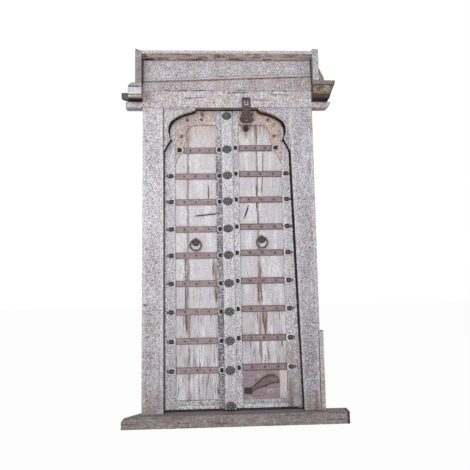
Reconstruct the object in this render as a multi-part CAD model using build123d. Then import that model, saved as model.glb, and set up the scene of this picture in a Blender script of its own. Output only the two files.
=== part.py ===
from build123d import *
import os

# Carved teak door: two pivot-hung leaves in a frame with a cusped arch, a cornice and a sill.
# X runs across the doorway, Y back through it and Z up, in millimetres.
# The origin lies on the floor, midway between the posts, in the plane of their front faces.

# Doorway and posts
door_width = 1160.0
door_height = 2020.0
post_depth = 60.0
left_post_width = 139.0
right_post_top_width = 165.0
right_post_foot_width = 117.0
tenon_width = 70.0
tenon_depth = 26.0
tenon_length = 36.0
joinery_clearance = 0.2

# Sill, worn away at its left end
sill_height = 75.0
sill_depth = 185.0
sill_nosing = 45.0
sill_left_reach = 700.0
sill_right_reach = 745.0
sill_wear_run = 105.0
sill_wear_drop = 28.0
sill_horn_back = 46.0

# Repair strip let into the right post
strip_width = 33.0
strip_let_in = 9.0
strip_depth = 46.0
strip_height = 505.0

# Lintel, frieze and cornice
lintel_height = 118.0
lintel_proud = 6.0
horn_height = 40.0
left_horn_reach = 694.0
right_horn_reach = 706.0
horn_corner = 24.0
frieze_half = 578.0
frieze_height = 223.0
lower_frieze_left_height = 66.0
lower_frieze_right_height = 105.0
lower_frieze_proud = 8.0
frieze_back = 50.0
cornice_projection = 80.0
top_board_height = 29.0
top_board_slope = 8.0
end_board_width = 41.0
end_board_rise = 14.0
end_board_wear = 16.0

# Corbels on the lintel's horns
left_corbel_width = 89.0
left_corbel_height = 106.0
left_corbel_round = 34.0
corbel_nose_length = 60.0
corbel_nose_height = 58.0
corbel_nose_lift = 14.0
corbel_nose_depth = 40.0
corbel_nose_taper_share = 0.6
right_corbel_width = 147.0
right_corbel_height = 122.0
right_corbel_fillet = 22.0
right_corbel_foot_width = 108.0
right_corbel_cove_width = 124.0
right_corbel_cove_height = 46.0
corbel_cap_width = 34.0
corbel_cap_height = 86.0
corbel_cap_edge = 14.0

# Arch between the spandrels: half widths from its own middle, drops below the lintel
spandrel_depth = 56.0
arch_middle_x = -6.5
arch_foot_drop = 306.0
arch_cusp_half = 384.5
arch_cusp_drop = 215.0
arch_lobe_half = 401.5
arch_lobe_drop = 156.0
arch_shoulder_half = 385.0
arch_shoulder_drop = 96.0
arch_bend_half = 330.0
arch_bend_drop = 56.0
arch_step_half = 237.0
arch_step_drop = 24.0
arch_riser_half = 215.0
arch_riser_drop = 12.0

# Leaves on their pivots
leaf_gap = 2.0
leaf_depth = 50.0
leaf_lift = 8.0
leaf_overlap = 10.0
head_gap = 4.0
pivot_half = 450.0
pivot_radius = 15.0
pivot_clearance = 0.3
pivot_depth = 40.0
head_beam_half = 560.0
head_beam_height = 78.0
head_beam_depth = 70.0
meeting_x = 28.0
meeting_gap = 4.0
outer_stile_width = 108.0
left_meeting_width = 115.0
right_meeting_width = 39.0
bottom_rail_height = 57.0
top_rail_height = 75.0
plank_depth = 28.0
plank_recess = 14.0
tongue = 11.5
groove_depth = 12.0
plank_joint = 3.0
left_joint_share = 0.30
right_joint_share = 0.57

# Haunch of the arched top rail: insets from the outer stile, drops below the leaf's top
haunch_foot_drop = 385.0
haunch_bend_inset = 67.0
haunch_bend_drop = 245.0
haunch_turn_inset = 76.0
haunch_turn_drop = 205.0
haunch_corner = 96.0
haunch_corner_share = 0.29

# Iron straps, in rows from the top one down to the lowest
strap_height = 42.0
strap_depth = 6.0
strap_top_drop = 288.0
strap_low_rise = 190.0
strap_row_shares = (0.0, 0.123, 0.244, 0.370, 0.490, 0.617, 0.743, 0.872, 1.0)
right_row_rise = 14.0
strap_clearance = 1.0
strap_nail_shares = (0.22, 0.50, 0.80)
nail_width = 11.0
nail_height = 3.5
nail_taper = 35.0

# Pads and studs on the stiles, rosettes on the top rail
pad_height = 40.0
outer_pad_length = 44.0
inner_pad_length = 34.0
pad_rise = 4.0
stud_width = 15.0
stud_height = 6.0
outer_stud_shares = (0.36, 0.80)
inner_stud_share = 0.45
rosette_width = 24.0
rosette_height = 5.5
rosette_inset_shares = (0.16, 0.30, 0.66, 0.67)
rosette_drop_shares = (0.66, 0.26, 0.25, 0.12)

# Astragal and its bosses
astragal_width = 75.0
astragal_depth = 18.0
astragal_top_gap = 7.0
astragal_bead = 12.0
boss_length = 66.0
boss_height = 54.0
boss_depth = 22.0
boss_top_share = 0.62
boss_top_drop = 41.0
foot_boss_rise = 22.0

# Carving: lozenges between two grooves on posts and stiles
groove_line_width = 6.0
groove_line_depth = 4.0
post_groove_shares = (0.20, 0.80)
post_lozenge_width = 46.0
post_lozenge_height = 58.0
post_lozenge_count = 30
stile_lozenge_width = 30.0
stile_lozenge_height = 28.0
stile_lozenges_per_bay = 4
frieze_groove_drop = 12.0
frieze_groove_rise = 19.0
rail_groove_rise = 24.5

# Ring pulls
ring_x = 230.0
right_ring_x = 219.0
ring_eye_z = 1195.0
ring_radius = 36.5
ring_wire = 6.0
ring_hang = 0.3
eye_radius = 10.5
eye_wire = 3.5
rose_radius = 27.0
rose_drop = 16.0
rose_flat_radius = 14.0
rose_height = 9.0

# Hasp that hangs on a staple in the lintel
hasp_x = 124.0
hasp_bar_rise = 55.0
hasp_bar_radius = 5.0
hasp_stand_off = 14.0
hasp_depth = 6.0
hasp_head_width = 58.0
hasp_head_top = 9.0
hasp_slot_width = 34.0
hasp_slot_length = 48.0
hasp_neck_width = 46.0
hasp_neck_drop = 70.0
hasp_fan_width = 96.0
hasp_fan_drop = 146.0
hasp_tip_width = 66.0
hasp_tip_drop = 170.0
hasp_eye_radius = 7.0
hasp_eye_drop = 150.0
staple_wire = 3.5
staple_spacing = 20.0
staple_reach = 34.0
staple_bury = 30.0
staple_hang = 0.3
leaf_staple_drop = 111.0
leaf_staple_reach = 30.0
leaf_staple_bury = 20.0
leaf_rose_radius = 22.0
leaf_rose_height = 6.0

# Repair in the lowest right bay, with a latch bar on it
repair_width = 246.0
repair_depth = 10.0
repair_gap = 1.0
upright_width = 49.0
latch_pivot_inset = 37.0
latch_pivot_rise = 54.0
latch_tilt = 19.5
latch_length = 212.0
latch_depth = 6.0
latch_eye_radius = 15.0
latch_neck = 16.0
latch_waist = 30.0
latch_waist_share = 0.34
latch_belly = 48.0
latch_belly_share = 0.80
latch_tip = 18.0
latch_beak = 22.0
latch_beak_share = 0.70
latch_lift = 0.3
latch_plate_width = 54.0
latch_plate_height = 40.0
latch_plate_depth = 4.0
latch_stud_radius = 5.0
latch_stud_clearance = 0.3
latch_head_radius = 13.0
latch_head_height = 5.0
keeper_radius = 5.0
keeper_share = 0.55

overrun = 5.0

# Levels and places that follow from the sizes above
half_width = door_width / 2
sill_back = sill_depth - sill_nosing
lintel_z = sill_height + door_height
lintel_top = lintel_z + lintel_height
left_frieze_joint = lintel_top + lower_frieze_left_height
right_frieze_joint = lintel_top + lower_frieze_right_height
cornice_z = lintel_top + frieze_height
cornice_top = cornice_z + top_board_height
corbel_z = lintel_z + horn_height
end_board_top = cornice_top + end_board_rise
left_jamb_x = -half_width + left_post_width
leaf_front = post_depth + leaf_gap
leaf_back = leaf_front + leaf_depth
leaf_bottom = sill_height + leaf_lift
leaf_top = lintel_z + leaf_overlap
head_z = leaf_top + head_gap
pivot_y = leaf_front + leaf_depth / 2
leaf_half = pivot_half + leaf_depth / 2
plank_front = leaf_front + plank_recess
plank_back = plank_front + plank_depth
strap_front = plank_front - strap_depth
panel_bottom = leaf_bottom + bottom_rail_height
panel_top = leaf_top - top_rail_height
right_free_x = meeting_x + meeting_gap
left_panel = (-leaf_half + outer_stile_width, meeting_x - left_meeting_width)
right_panel = (right_free_x + right_meeting_width, leaf_half - outer_stile_width)
top_row_z = leaf_top - strap_top_drop
row_span = top_row_z - panel_bottom - strap_low_rise
rows = [top_row_z - share * row_span for share in strap_row_shares]
right_rows = [row + right_row_rise for row in rows]


def block(x0, x1, y0, y1, z0, z1):
    """A box between two corners."""
    corner = (Align.MIN, Align.MIN, Align.MIN)
    return Pos(x0, y0, z0) * Box(x1 - x0, y1 - y0, z1 - z0, align=corner)


def plate(face, y0, y1):
    """A face drawn in the X and Z plane, thickened from y0 back to y1."""
    return Pos(0, y1, 0) * extrude(Plane.XZ * face, amount=y1 - y0)


def polygon(points):
    """A straight-sided face through the points, in their order."""
    return make_face(Polyline(*points, close=True))


def rod_y(x, z, radius, y0, y1):
    """A round rod from y0 back to y1."""
    rod = Cylinder(radius, y1 - y0, align=(Align.CENTER, Align.CENTER, Align.MIN))
    return Pos(x, y0, z) * Rot(-90, 0, 0) * rod


def rod_z(x, y, radius, z0, z1):
    """A round upright rod from z0 to z1."""
    return Pos(x, y, z0) * Cylinder(radius, z1 - z0, align=(Align.CENTER, Align.CENTER, Align.MIN))


def lozenges(x, y, heights, width, height):
    """Lozenge cutters, groove deep, on a front face at y."""
    shape = polygon([(-width / 2, 0), (0, -height / 2), (width / 2, 0), (0, height / 2)])
    cutter = plate(shape, y - overrun, y + groove_line_depth)
    return [Pos(x, 0, z) * cutter for z in heights]


def spread(low, high, count):
    """The middles of count equal spaces between two heights."""
    step = (high - low) / count
    return [low + step * (index + 1 / 2) for index in range(count)]


def right_jamb_x(z):
    """The right post's inner edge, which leans towards the doorway as it rises."""
    taper = (right_post_top_width - right_post_foot_width) * (z - sill_height) / door_height
    return half_width - right_post_foot_width - taper


def post_tenon(x, z0, z1, clearance):
    """A stub tenon in the middle of a post's depth, or its mortise with some clearance."""
    reach = tenon_width / 2 + clearance
    depth = tenon_depth / 2 + clearance
    middle = post_depth / 2
    return block(x - reach, x + reach, middle - depth, middle + depth, z0, z1)


def tenon_x(side):
    """Where a post's tenons stand, over the middle of its foot."""
    if side < 0:
        return -half_width + left_post_width / 2
    return half_width - right_post_foot_width / 2


def make_sill():
    beam = block(-sill_left_reach, sill_right_reach, -sill_nosing, sill_back, 0, sill_height)
    worn = polygon([
        (-sill_left_reach - overrun, sill_height - sill_wear_drop),
        (-sill_left_reach, sill_height - sill_wear_drop),
        (-sill_left_reach + sill_wear_run, sill_height),
        (-sill_left_reach + sill_wear_run, sill_height + overrun),
        (-sill_left_reach - overrun, sill_height + overrun),
    ])
    cuts = [plate(worn, -sill_nosing - overrun, sill_back + overrun)]
    for side, reach in ((-1, sill_left_reach), (1, sill_right_reach)):
        x0, x1 = sorted((side * half_width, side * (reach + overrun)))
        cuts.append(block(x0, x1, sill_horn_back, sill_back + overrun, -overrun, sill_height + overrun))
        x = side * pivot_half
        hole = pivot_radius + pivot_clearance
        cuts.append(rod_z(x, pivot_y, hole, sill_height - pivot_depth, sill_height + overrun))
        low = sill_height - tenon_length - joinery_clearance
        cuts.append(post_tenon(tenon_x(side), low, sill_height + overrun, joinery_clearance))
    return beam - cuts


def carve_post(body, x_low, x_high):
    """Cuts two upright grooves and a row of lozenges into a post's front."""
    width = x_high - x_low
    cuts = []
    for share in post_groove_shares:
        x = x_low + share * width
        line = groove_line_width / 2
        cuts.append(block(x - line, x + line, -overrun, groove_line_depth,
                          sill_height + groove_line_width, lintel_z - groove_line_width))
    heights = spread(sill_height, lintel_z, post_lozenge_count)
    cuts += lozenges(x_low + width / 2, 0, heights, post_lozenge_width, post_lozenge_height)
    return body - cuts


def add_tenons(body, side):
    x = tenon_x(side)
    foot = post_tenon(x, sill_height - tenon_length, sill_height, 0)
    head = post_tenon(x, lintel_z, lintel_z + tenon_length, 0)
    return body + [foot, head]


def make_left_post():
    body = block(-half_width, left_jamb_x, 0, post_depth, sill_height, lintel_z)
    return add_tenons(carve_post(body, -half_width, left_jamb_x), -1)


def make_right_post():
    outline = polygon([
        (half_width, sill_height),
        (half_width, lintel_z),
        (right_jamb_x(lintel_z), lintel_z),
        (right_jamb_x(sill_height), sill_height),
    ])
    body = plate(outline, 0, post_depth)
    notch = block(half_width - strip_let_in, half_width + overrun, -overrun, strip_depth,
                  sill_height - overrun, sill_height + strip_height)
    body = carve_post(body - notch, right_jamb_x(sill_height), half_width - strip_let_in)
    return add_tenons(body, 1)


def make_repair_strip():
    x = half_width - strip_let_in
    return block(x, x + strip_width, 0, strip_depth, sill_height, sill_height + strip_height)


def staple_cuts(x, z, y0, y1):
    """The two holes that a staple's legs are driven into."""
    holes = []
    for side in (-1, 1):
        leg_z = z + side * staple_spacing / 2
        holes.append(rod_y(x, leg_z, staple_wire + joinery_clearance, y0, y1))
    return holes


def make_lintel():
    outline = [
        (-left_horn_reach, lintel_z),
        (right_horn_reach - horn_corner, lintel_z),
        (right_horn_reach, lintel_z + horn_corner),
        (right_horn_reach, corbel_z),
        (frieze_half, corbel_z),
        (frieze_half, lintel_top),
        (-frieze_half, lintel_top),
        (-frieze_half, corbel_z),
        (-left_horn_reach, corbel_z),
    ]
    beam = plate(polygon(outline), -lintel_proud, post_depth)
    cuts = []
    for side in (-1, 1):
        high = lintel_z + tenon_length + joinery_clearance
        cuts.append(post_tenon(tenon_x(side), lintel_z - overrun, high, joinery_clearance))
    front = -lintel_proud
    cuts += staple_cuts(hasp_x, lintel_staple_z, front - overrun, front + staple_bury + joinery_clearance)
    return beam - cuts


def make_spandrel(side):
    """A cusped corner board; side is -1 on the left and 1 on the right."""
    foot_z = lintel_z - arch_foot_drop
    if side < 0:
        jamb_foot = -left_jamb_x
        jamb_head = -left_jamb_x
    else:
        jamb_foot = right_jamb_x(foot_z)
        jamb_head = right_jamb_x(lintel_z)

    def arch_point(half, drop):
        return (arch_middle_x + side * half, lintel_z - drop)

    foot = (side * jamb_foot, foot_z)
    cusp = arch_point(arch_cusp_half, arch_cusp_drop)
    lobe = arch_point(arch_lobe_half, arch_lobe_drop)
    shoulder = arch_point(arch_shoulder_half, arch_shoulder_drop)
    bend = arch_point(arch_bend_half, arch_bend_drop)
    step = arch_point(arch_step_half, arch_step_drop)
    riser = arch_point(arch_riser_half, arch_riser_drop)
    top = arch_point(arch_riser_half, 0)
    corner = (side * jamb_head, lintel_z)
    edge = [
        Line(foot, cusp),
        ThreePointArc(cusp, lobe, shoulder),
        ThreePointArc(shoulder, bend, step),
        Polyline(step, riser, top, corner, foot),
    ]
    return plate(make_face(Curve() + edge), 0, spandrel_depth)


def frieze_groove(front, rise):
    """A groove cutter that runs along the friezes' joint, which is out of level, at a rise above it."""
    reach = frieze_half + overrun
    left, right = left_frieze_joint + rise, right_frieze_joint + rise
    line = polygon([
        (-reach, left),
        (reach, right),
        (reach, right + groove_line_width),
        (-reach, left + groove_line_width),
    ])
    return plate(line, front - overrun, front + groove_line_depth)


def make_lower_frieze():
    front = -lower_frieze_proud
    outline = polygon([
        (-frieze_half, lintel_top),
        (frieze_half, lintel_top),
        (frieze_half, right_frieze_joint),
        (-frieze_half, left_frieze_joint),
    ])
    return plate(outline, front, frieze_back) - frieze_groove(front, -frieze_groove_drop)


def make_upper_frieze():
    outline = polygon([
        (-frieze_half, left_frieze_joint),
        (frieze_half, right_frieze_joint),
        (frieze_half, cornice_z),
        (-frieze_half, cornice_z),
    ])
    return plate(outline, 0, frieze_back) - frieze_groove(0, frieze_groove_rise)


def make_top_board():
    """The cornice board, whose underside slopes up to its front edge."""
    section = polygon([
        (frieze_back, cornice_z),
        (0, cornice_z),
        (-cornice_projection, cornice_z + top_board_slope),
        (-cornice_projection, cornice_top),
        (frieze_back, cornice_top),
    ])
    return Pos(-frieze_half, 0, 0) * extrude(Plane.YZ * section, amount=2 * frieze_half)


def make_end_board(side, bottom):
    """A board across one end of the cornice; the left one's top is worn to a slope."""
    inner = side * frieze_half
    outer = side * (frieze_half + end_board_width)
    inner_top = end_board_top
    if side < 0:
        inner_top = end_board_top - end_board_wear
    outline = polygon([(inner, bottom), (outer, bottom), (outer, end_board_top), (inner, inner_top)])
    return plate(outline, -cornice_projection, frieze_back)


def make_left_corbel():
    top = corbel_z + left_corbel_height
    outer = -frieze_half - left_corbel_width
    inner_round = outer + left_corbel_round
    low_round = top - left_corbel_round
    curve = [
        Polyline((inner_round, top), (-frieze_half, top), (-frieze_half, corbel_z), (outer, corbel_z),
                 (outer, low_round)),
        RadiusArc((outer, low_round), (inner_round, top), left_corbel_round),
    ]
    body = plate(make_face(Curve() + curve), -cornice_projection, frieze_back)
    nose_low = corbel_z + corbel_nose_lift
    nose_high = nose_low + corbel_nose_height
    tip = outer - corbel_nose_length
    shrink = corbel_nose_height * (1 - corbel_nose_taper_share)
    nose = polygon([(outer, nose_low), (outer, nose_high), (tip, nose_high), (tip, nose_low + shrink)])
    return body + plate(nose, frieze_back - corbel_nose_depth, frieze_back)


def make_right_corbel():
    top = corbel_z + right_corbel_height
    outer = frieze_half + right_corbel_width
    fillet_low = top - right_corbel_fillet
    cove = (frieze_half + right_corbel_cove_width, corbel_z + right_corbel_cove_height)
    foot = (frieze_half + right_corbel_foot_width, corbel_z)
    curve = [
        Polyline(foot, (frieze_half, corbel_z), (frieze_half, top), (outer, top), (outer, fillet_low)),
        ThreePointArc((outer, fillet_low), cove, foot),
    ]
    body = plate(make_face(Curve() + curve), -cornice_projection, frieze_back)
    cap_inner = frieze_half + end_board_width
    cap_outer = cap_inner + corbel_cap_width
    cap = polygon([
        (cap_inner, top),
        (cap_outer, top),
        (cap_outer, top + corbel_cap_edge),
        (cap_inner, top + corbel_cap_height),
    ])
    return body + plate(cap, -cornice_projection, frieze_back)


def make_head_beam():
    back = post_depth + head_beam_depth
    beam = block(-head_beam_half, head_beam_half, post_depth, back, head_z, head_z + head_beam_height)
    hole = pivot_radius + pivot_clearance
    high = head_z + pivot_depth + overrun
    return beam - [rod_z(side * pivot_half, pivot_y, hole, head_z - overrun, high) for side in (-1, 1)]


def panel_groove(x0, x1, z0, z1):
    """The groove that takes the planks' tongues."""
    return block(x0, x1, plank_front - joinery_clearance, plank_back + joinery_clearance, z0, z1)


def bay_heights(row_heights):
    """Heights of the lozenges that fill the bays between the strap rows."""
    heights = []
    for upper, lower in zip(row_heights, row_heights[1:]):
        heights += spread(lower + pad_height / 2, upper - pad_height / 2, stile_lozenges_per_bay)
    return heights


def pad(x_root, x_tip, z):
    """A raised pad on a stile, rounded at the tip that points at a strap."""
    half = pad_height / 2
    turn = x_tip - half if x_tip > x_root else x_tip + half
    shape = [
        Polyline((turn, z - half), (x_root, z - half), (x_root, z + half), (turn, z + half)),
        ThreePointArc((turn, z + half), (x_tip, z), (turn, z - half)),
    ]
    return plate(make_face(Curve() + shape), leaf_front - pad_rise, leaf_front)


def make_pivot_stile(side, row_heights):
    """The carved outer stile, round at its pivot edge, with a pin at each end."""
    inner = side * (leaf_half - outer_stile_width)
    x_pivot = side * pivot_half
    low, high = sorted((inner, x_pivot))
    body = block(low, high, leaf_front, leaf_back, leaf_bottom, leaf_top)
    body += rod_z(x_pivot, pivot_y, leaf_depth / 2, leaf_bottom, leaf_top)
    body += rod_z(x_pivot, pivot_y, pivot_radius, sill_height - pivot_depth, leaf_bottom)
    body += rod_z(x_pivot, pivot_y, pivot_radius, leaf_top, head_z + pivot_depth)
    tip = inner + side * groove_depth
    low, high = sorted((inner - side * overrun, tip))
    cuts = [panel_groove(low, high, leaf_bottom - overrun, leaf_top + overrun)]
    middle = inner + side * outer_pad_length / 2
    cuts += lozenges(middle, leaf_front, bay_heights(row_heights), stile_lozenge_width, stile_lozenge_height)
    pads = [pad(inner + side * outer_pad_length, inner, z) for z in row_heights[1:]]
    return body - cuts + pads


def make_meeting_stile(side, row_heights):
    """The carved stile at a leaf's free edge."""
    free, inner = (meeting_x, left_panel[1]) if side < 0 else (right_free_x, right_panel[0])
    low, high = sorted((free, inner))
    body = block(low, high, leaf_front, leaf_back, leaf_bottom, leaf_top)
    tip = inner - side * groove_depth
    low, high = sorted((inner + side * overrun, tip))
    cuts = [panel_groove(low, high, leaf_bottom - overrun, leaf_top + overrun)]
    middle = inner - side * inner_pad_length / 2
    cuts += lozenges(middle, leaf_front, bay_heights(row_heights), stile_lozenge_width, stile_lozenge_height)
    pads = [pad(inner - side * inner_pad_length, inner, z) for z in row_heights]
    return body - cuts + pads


def make_arch_rail(side, top_row):
    """The top rail, with a haunch that follows the arch down and carries the top strap's pad."""
    outer, inner = (left_panel[0], left_panel[1]) if side < 0 else (right_panel[1], right_panel[0])
    low, high = sorted((outer, inner))
    body = block(low, high, leaf_front, leaf_back, panel_top, leaf_top)
    body -= panel_groove(low - overrun, high + overrun, panel_top - overrun, panel_top + groove_depth)
    turn = (outer - side * haunch_turn_inset, leaf_top - haunch_turn_drop)
    level = (outer - side * (haunch_turn_inset + haunch_corner), leaf_top - haunch_turn_drop + haunch_corner)
    corner = haunch_corner_share * haunch_corner
    middle = (turn[0] - side * corner, level[1] - corner)
    curve = [
        Polyline((outer, panel_top), (outer, leaf_top - haunch_foot_drop),
                 (outer - side * haunch_bend_inset, leaf_top - haunch_bend_drop), turn),
        ThreePointArc(turn, middle, level),
        Polyline(level, (inner, level[1]), (inner, panel_top), (outer, panel_top)),
    ]
    haunch = plate(make_face(Curve() + curve), leaf_front, plank_front - joinery_clearance)
    tip = outer - side * haunch_inset(top_row + strap_height / 2)
    return body + haunch + pad(tip + side * outer_pad_length, tip, top_row)


def make_bottom_rail(side):
    low, high = left_panel if side < 0 else right_panel
    body = block(low, high, leaf_front, leaf_back, leaf_bottom, panel_bottom)
    z = panel_bottom - groove_depth
    groove = panel_groove(low - overrun, high + overrun, z, panel_bottom + overrun)
    z = leaf_bottom + rail_groove_rise
    line = block(low - overrun, high + overrun, leaf_front - overrun, leaf_front + groove_line_depth,
                 z, z + groove_line_width)
    return body - [groove, line]


def make_planks(side):
    """The two planks of a leaf, outer one first, with an open joint between them."""
    low, high = left_panel if side < 0 else right_panel
    joint_share = left_joint_share if side < 0 else 1 - right_joint_share
    joint = low + joint_share * (high - low)
    z0 = panel_bottom - tongue
    z1 = panel_top + tongue
    first = block(low - tongue, joint - plank_joint / 2, plank_front, plank_back, z0, z1)
    second = block(joint + plank_joint / 2, high + tongue, plank_front, plank_back, z0, z1)
    if side < 0:
        return first, second
    bury = leaf_staple_bury + joinery_clearance
    first -= staple_cuts(hasp_x, leaf_staple_z, plank_front - overrun, plank_front + bury)
    return second, first


def haunch_inset(z):
    """How far the haunch covers the panel beside the outer stile at a height."""
    foot = leaf_top - haunch_foot_drop
    bend = leaf_top - haunch_bend_drop
    if z <= foot:
        return 0
    return haunch_bend_inset * (z - foot) / (bend - foot) + strap_clearance


def strap_ends(side, z):
    """A strap's two ends, low X first, cut short where the haunch stands in its way."""
    inset = haunch_inset(z + strap_height / 2)
    low, high = left_panel if side < 0 else right_panel
    return (low + inset, high) if side < 0 else (low, high - inset)


def make_strap(side, z):
    low, high = strap_ends(side, z)
    return block(low, high, strap_front, plank_front, z - strap_height / 2, z + strap_height / 2)


def nail_head(x, y, z, width, height):
    """A hand-forged head with four slopes, standing forward of a face at y."""
    base = Rectangle(width, width)
    head = extrude(base, amount=height, taper=nail_taper)
    return Pos(x, y, z) * Rot(90, 0, 0) * head


def round_head(x, y, z, width, height):
    """A round-edged stud or rosette, standing forward of a face at y."""
    shape = Cone(width / 2, width / 4, height, align=(Align.CENTER, Align.CENTER, Align.MIN))
    return Pos(x, y, z) * Rot(90, 0, 0) * shape


def make_nails(side, row_heights):
    """All loose fasteners of a leaf: strap nails, stile studs and rail rosettes."""
    outer, inner = (left_panel[0], left_panel[1]) if side < 0 else (right_panel[1], right_panel[0])
    heads = []
    for z in row_heights:
        low, high = strap_ends(side, z)
        for share in strap_nail_shares:
            heads.append(nail_head(low + share * (high - low), strap_front, z, nail_width, nail_height))
        tip = low if side < 0 else high
        for share in outer_stud_shares:
            x = tip + side * share * outer_pad_length
            heads.append(round_head(x, leaf_front - pad_rise, z, stud_width, stud_height))
        x = inner - side * inner_stud_share * inner_pad_length
        heads.append(round_head(x, leaf_front - pad_rise, z, stud_width, stud_height))
    for inset_share, drop_share in zip(rosette_inset_shares, rosette_drop_shares):
        x = outer + inset_share * (inner - outer)
        z = leaf_top - drop_share * (leaf_top - rows[0])
        heads.append(round_head(x, leaf_front, z, rosette_width, rosette_height))
    return Compound(children=heads)


def make_astragal():
    low = meeting_x - astragal_width
    front = leaf_front - astragal_depth
    top = lintel_z - astragal_top_gap
    section = Polyline(
        (low, leaf_front), (low, front + astragal_bead), (low + astragal_bead, front),
        (meeting_x - astragal_bead, front), (meeting_x, front + astragal_bead), (meeting_x, leaf_front),
        close=True,
    )
    return Pos(0, 0, leaf_bottom) * extrude(make_face(section), amount=top - leaf_bottom)


def make_bosses():
    """Oval bosses on the astragal: one for each strap row, one at its head and one at its foot."""
    x = meeting_x - astragal_width / 2
    y = leaf_front - astragal_depth
    heights = [lintel_z - boss_top_drop] + rows + [leaf_bottom + foot_boss_rise]
    bosses = []
    for z in heights:
        base = Plane.XZ.offset(-y) * Pos(x, z) * Ellipse(boss_length / 2, boss_height / 2)
        tip = Plane.XZ.offset(boss_depth - y) * Pos(x, z) * Ellipse(
            boss_top_share * boss_length / 2, boss_top_share * boss_height / 2)
        bosses.append(loft([base, tip]))
    return Compound(children=bosses)


def make_ring_mount(x, z):
    """A round rose on the planks, with a forged eye for the ring in its upper half."""
    rose = Cone(rose_radius, rose_flat_radius, rose_height, align=(Align.CENTER, Align.CENTER, Align.MIN))
    rose = Pos(x, plank_front, z - rose_drop) * Rot(90, 0, 0) * rose
    eye = Pos(x, ring_y, z) * Rot(0, 90, 0) * Torus(eye_radius, eye_wire)
    return rose + eye


def make_ring(x, z):
    """The ring, hanging on the bottom of its eye."""
    return Pos(x, ring_y, z - ring_sag - ring_radius) * Rot(90, 0, 0) * Torus(ring_radius, ring_wire)


def make_staple(x, z, face_y, reach, bury):
    """A staple with its two legs one above the other, driven into a face at face_y."""
    crown_y = face_y - reach + staple_wire
    body = Pos(x, crown_y, z - staple_spacing / 2) * Cylinder(
        staple_wire, staple_spacing, align=(Align.CENTER, Align.CENTER, Align.MIN))
    for side in (-1, 1):
        leg_z = z + side * staple_spacing / 2
        body += rod_y(x, leg_z, staple_wire, crown_y, face_y + bury)
        body += Pos(x, crown_y, leg_z) * Sphere(staple_wire)
    return body


def make_leaf_staple():
    body = make_staple(hasp_x, leaf_staple_z, plank_front, leaf_staple_reach, leaf_staple_bury)
    front = plank_front - leaf_rose_height
    return body + rod_y(hasp_x, leaf_staple_z, leaf_rose_radius, front, plank_front)


def make_hasp():
    """A slotted head on a fan-shaped tail, hanging by its top bar on the lintel's staple."""
    z = hasp_bar_z
    top = z + hasp_head_top
    neck_z = z - hasp_neck_drop
    fan_z = z - hasp_fan_drop
    tip_z = z - hasp_tip_drop
    right_side = [
        (hasp_head_width / 2, top),
        (hasp_head_width / 2, z - hasp_slot_length),
        (hasp_neck_width / 2, neck_z),
        (hasp_fan_width / 2, fan_z),
        (hasp_tip_width / 2, tip_z),
    ]
    left_side = [(-x, level) for x, level in reversed(right_side)]
    y0 = hasp_y - hasp_depth / 2
    body = Pos(hasp_x, 0, 0) * plate(polygon(right_side + left_side), y0, y0 + hasp_depth)
    half = hasp_slot_width / 2
    slot = block(hasp_x - half, hasp_x + half, y0 - overrun, y0 + hasp_depth + overrun,
                 z - hasp_slot_length, z)
    eye = rod_y(hasp_x, z - hasp_eye_drop, hasp_eye_radius, y0 - overrun, y0 + hasp_depth + overrun)
    bar = Pos(hasp_x, hasp_y, z) * Rot(0, 90, 0) * Cylinder(hasp_bar_radius, hasp_slot_width + hasp_bar_radius)
    return body - [slot, eye] + bar


def latch_place():
    """The latch bar's frame: its pivot, turned up by its resting tilt."""
    x = right_panel[0] + latch_pivot_inset
    return Pos(x, 0, panel_bottom + latch_pivot_rise) * Rot(0, -latch_tilt, 0)


def make_latch_bar():
    """A leaf-shaped iron tongue that turns on a stud at its eye, with a beak at its tip."""
    half = latch_neck / 2
    neck = (latch_eye_radius, half)
    waist = (latch_waist_share * latch_length, latch_waist)
    belly = (latch_belly_share * latch_length, latch_belly)
    tip = (latch_length, latch_tip)
    beak = (latch_length, -latch_beak)
    throat = (latch_beak_share * latch_length, -half)
    curve = [
        Spline(neck, waist, belly, tip),
        Polyline(tip, beak, throat, (0, -half), (0, half), neck),
    ]
    outline = make_face(Curve() + curve) + Circle(latch_eye_radius)
    outline -= Circle(latch_stud_radius + latch_stud_clearance)
    return latch_place() * plate(outline, latch_front, latch_front + latch_depth)


def make_latch_studs():
    """The stud that the latch bar turns on, on its plate, and the pin that the bar rests on."""
    board_y = plank_front - repair_depth
    head_y = latch_front - latch_lift
    stud = rod_y(0, 0, latch_stud_radius, head_y, board_y)
    stud += rod_y(0, 0, latch_head_radius, head_y - latch_head_height, head_y)
    reach, rise = latch_plate_width / 2, latch_plate_height / 2
    flat = block(-reach, reach, board_y - latch_plate_depth, board_y, -rise, rise)
    stud += Rot(0, latch_tilt, 0) * flat
    rest_z = -latch_neck / 2 - latch_lift - keeper_radius
    keeper = rod_y(keeper_share * latch_length, rest_z, keeper_radius, head_y, board_y)
    return Compound(children=[latch_place() * stud, latch_place() * keeper])


def make_repair_board():
    x = right_panel[0]
    top = right_rows[-1] - strap_height / 2 - repair_gap
    return block(x, x + repair_width, plank_front - repair_depth, plank_front, panel_bottom, top)


def make_repair_upright():
    x = right_panel[0] + repair_width
    top = right_rows[-1] - strap_height / 2 - repair_gap
    return block(x, x + upright_width, plank_front - repair_depth, plank_front, panel_bottom, top)


# Places of the hardware that follow from the sizes above
ring_y = plank_front - rose_height - eye_radius
ring_sag = eye_radius - eye_wire - ring_wire - ring_hang
hasp_y = -lintel_proud - hasp_stand_off
hasp_bar_z = lintel_z + hasp_bar_rise
lintel_staple_z = hasp_bar_z - hasp_bar_radius - staple_hang - staple_wire - staple_spacing / 2
leaf_staple_z = leaf_top - leaf_staple_drop - leaf_rose_radius
latch_front = plank_front - repair_depth - latch_plate_depth - latch_lift - latch_depth


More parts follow.
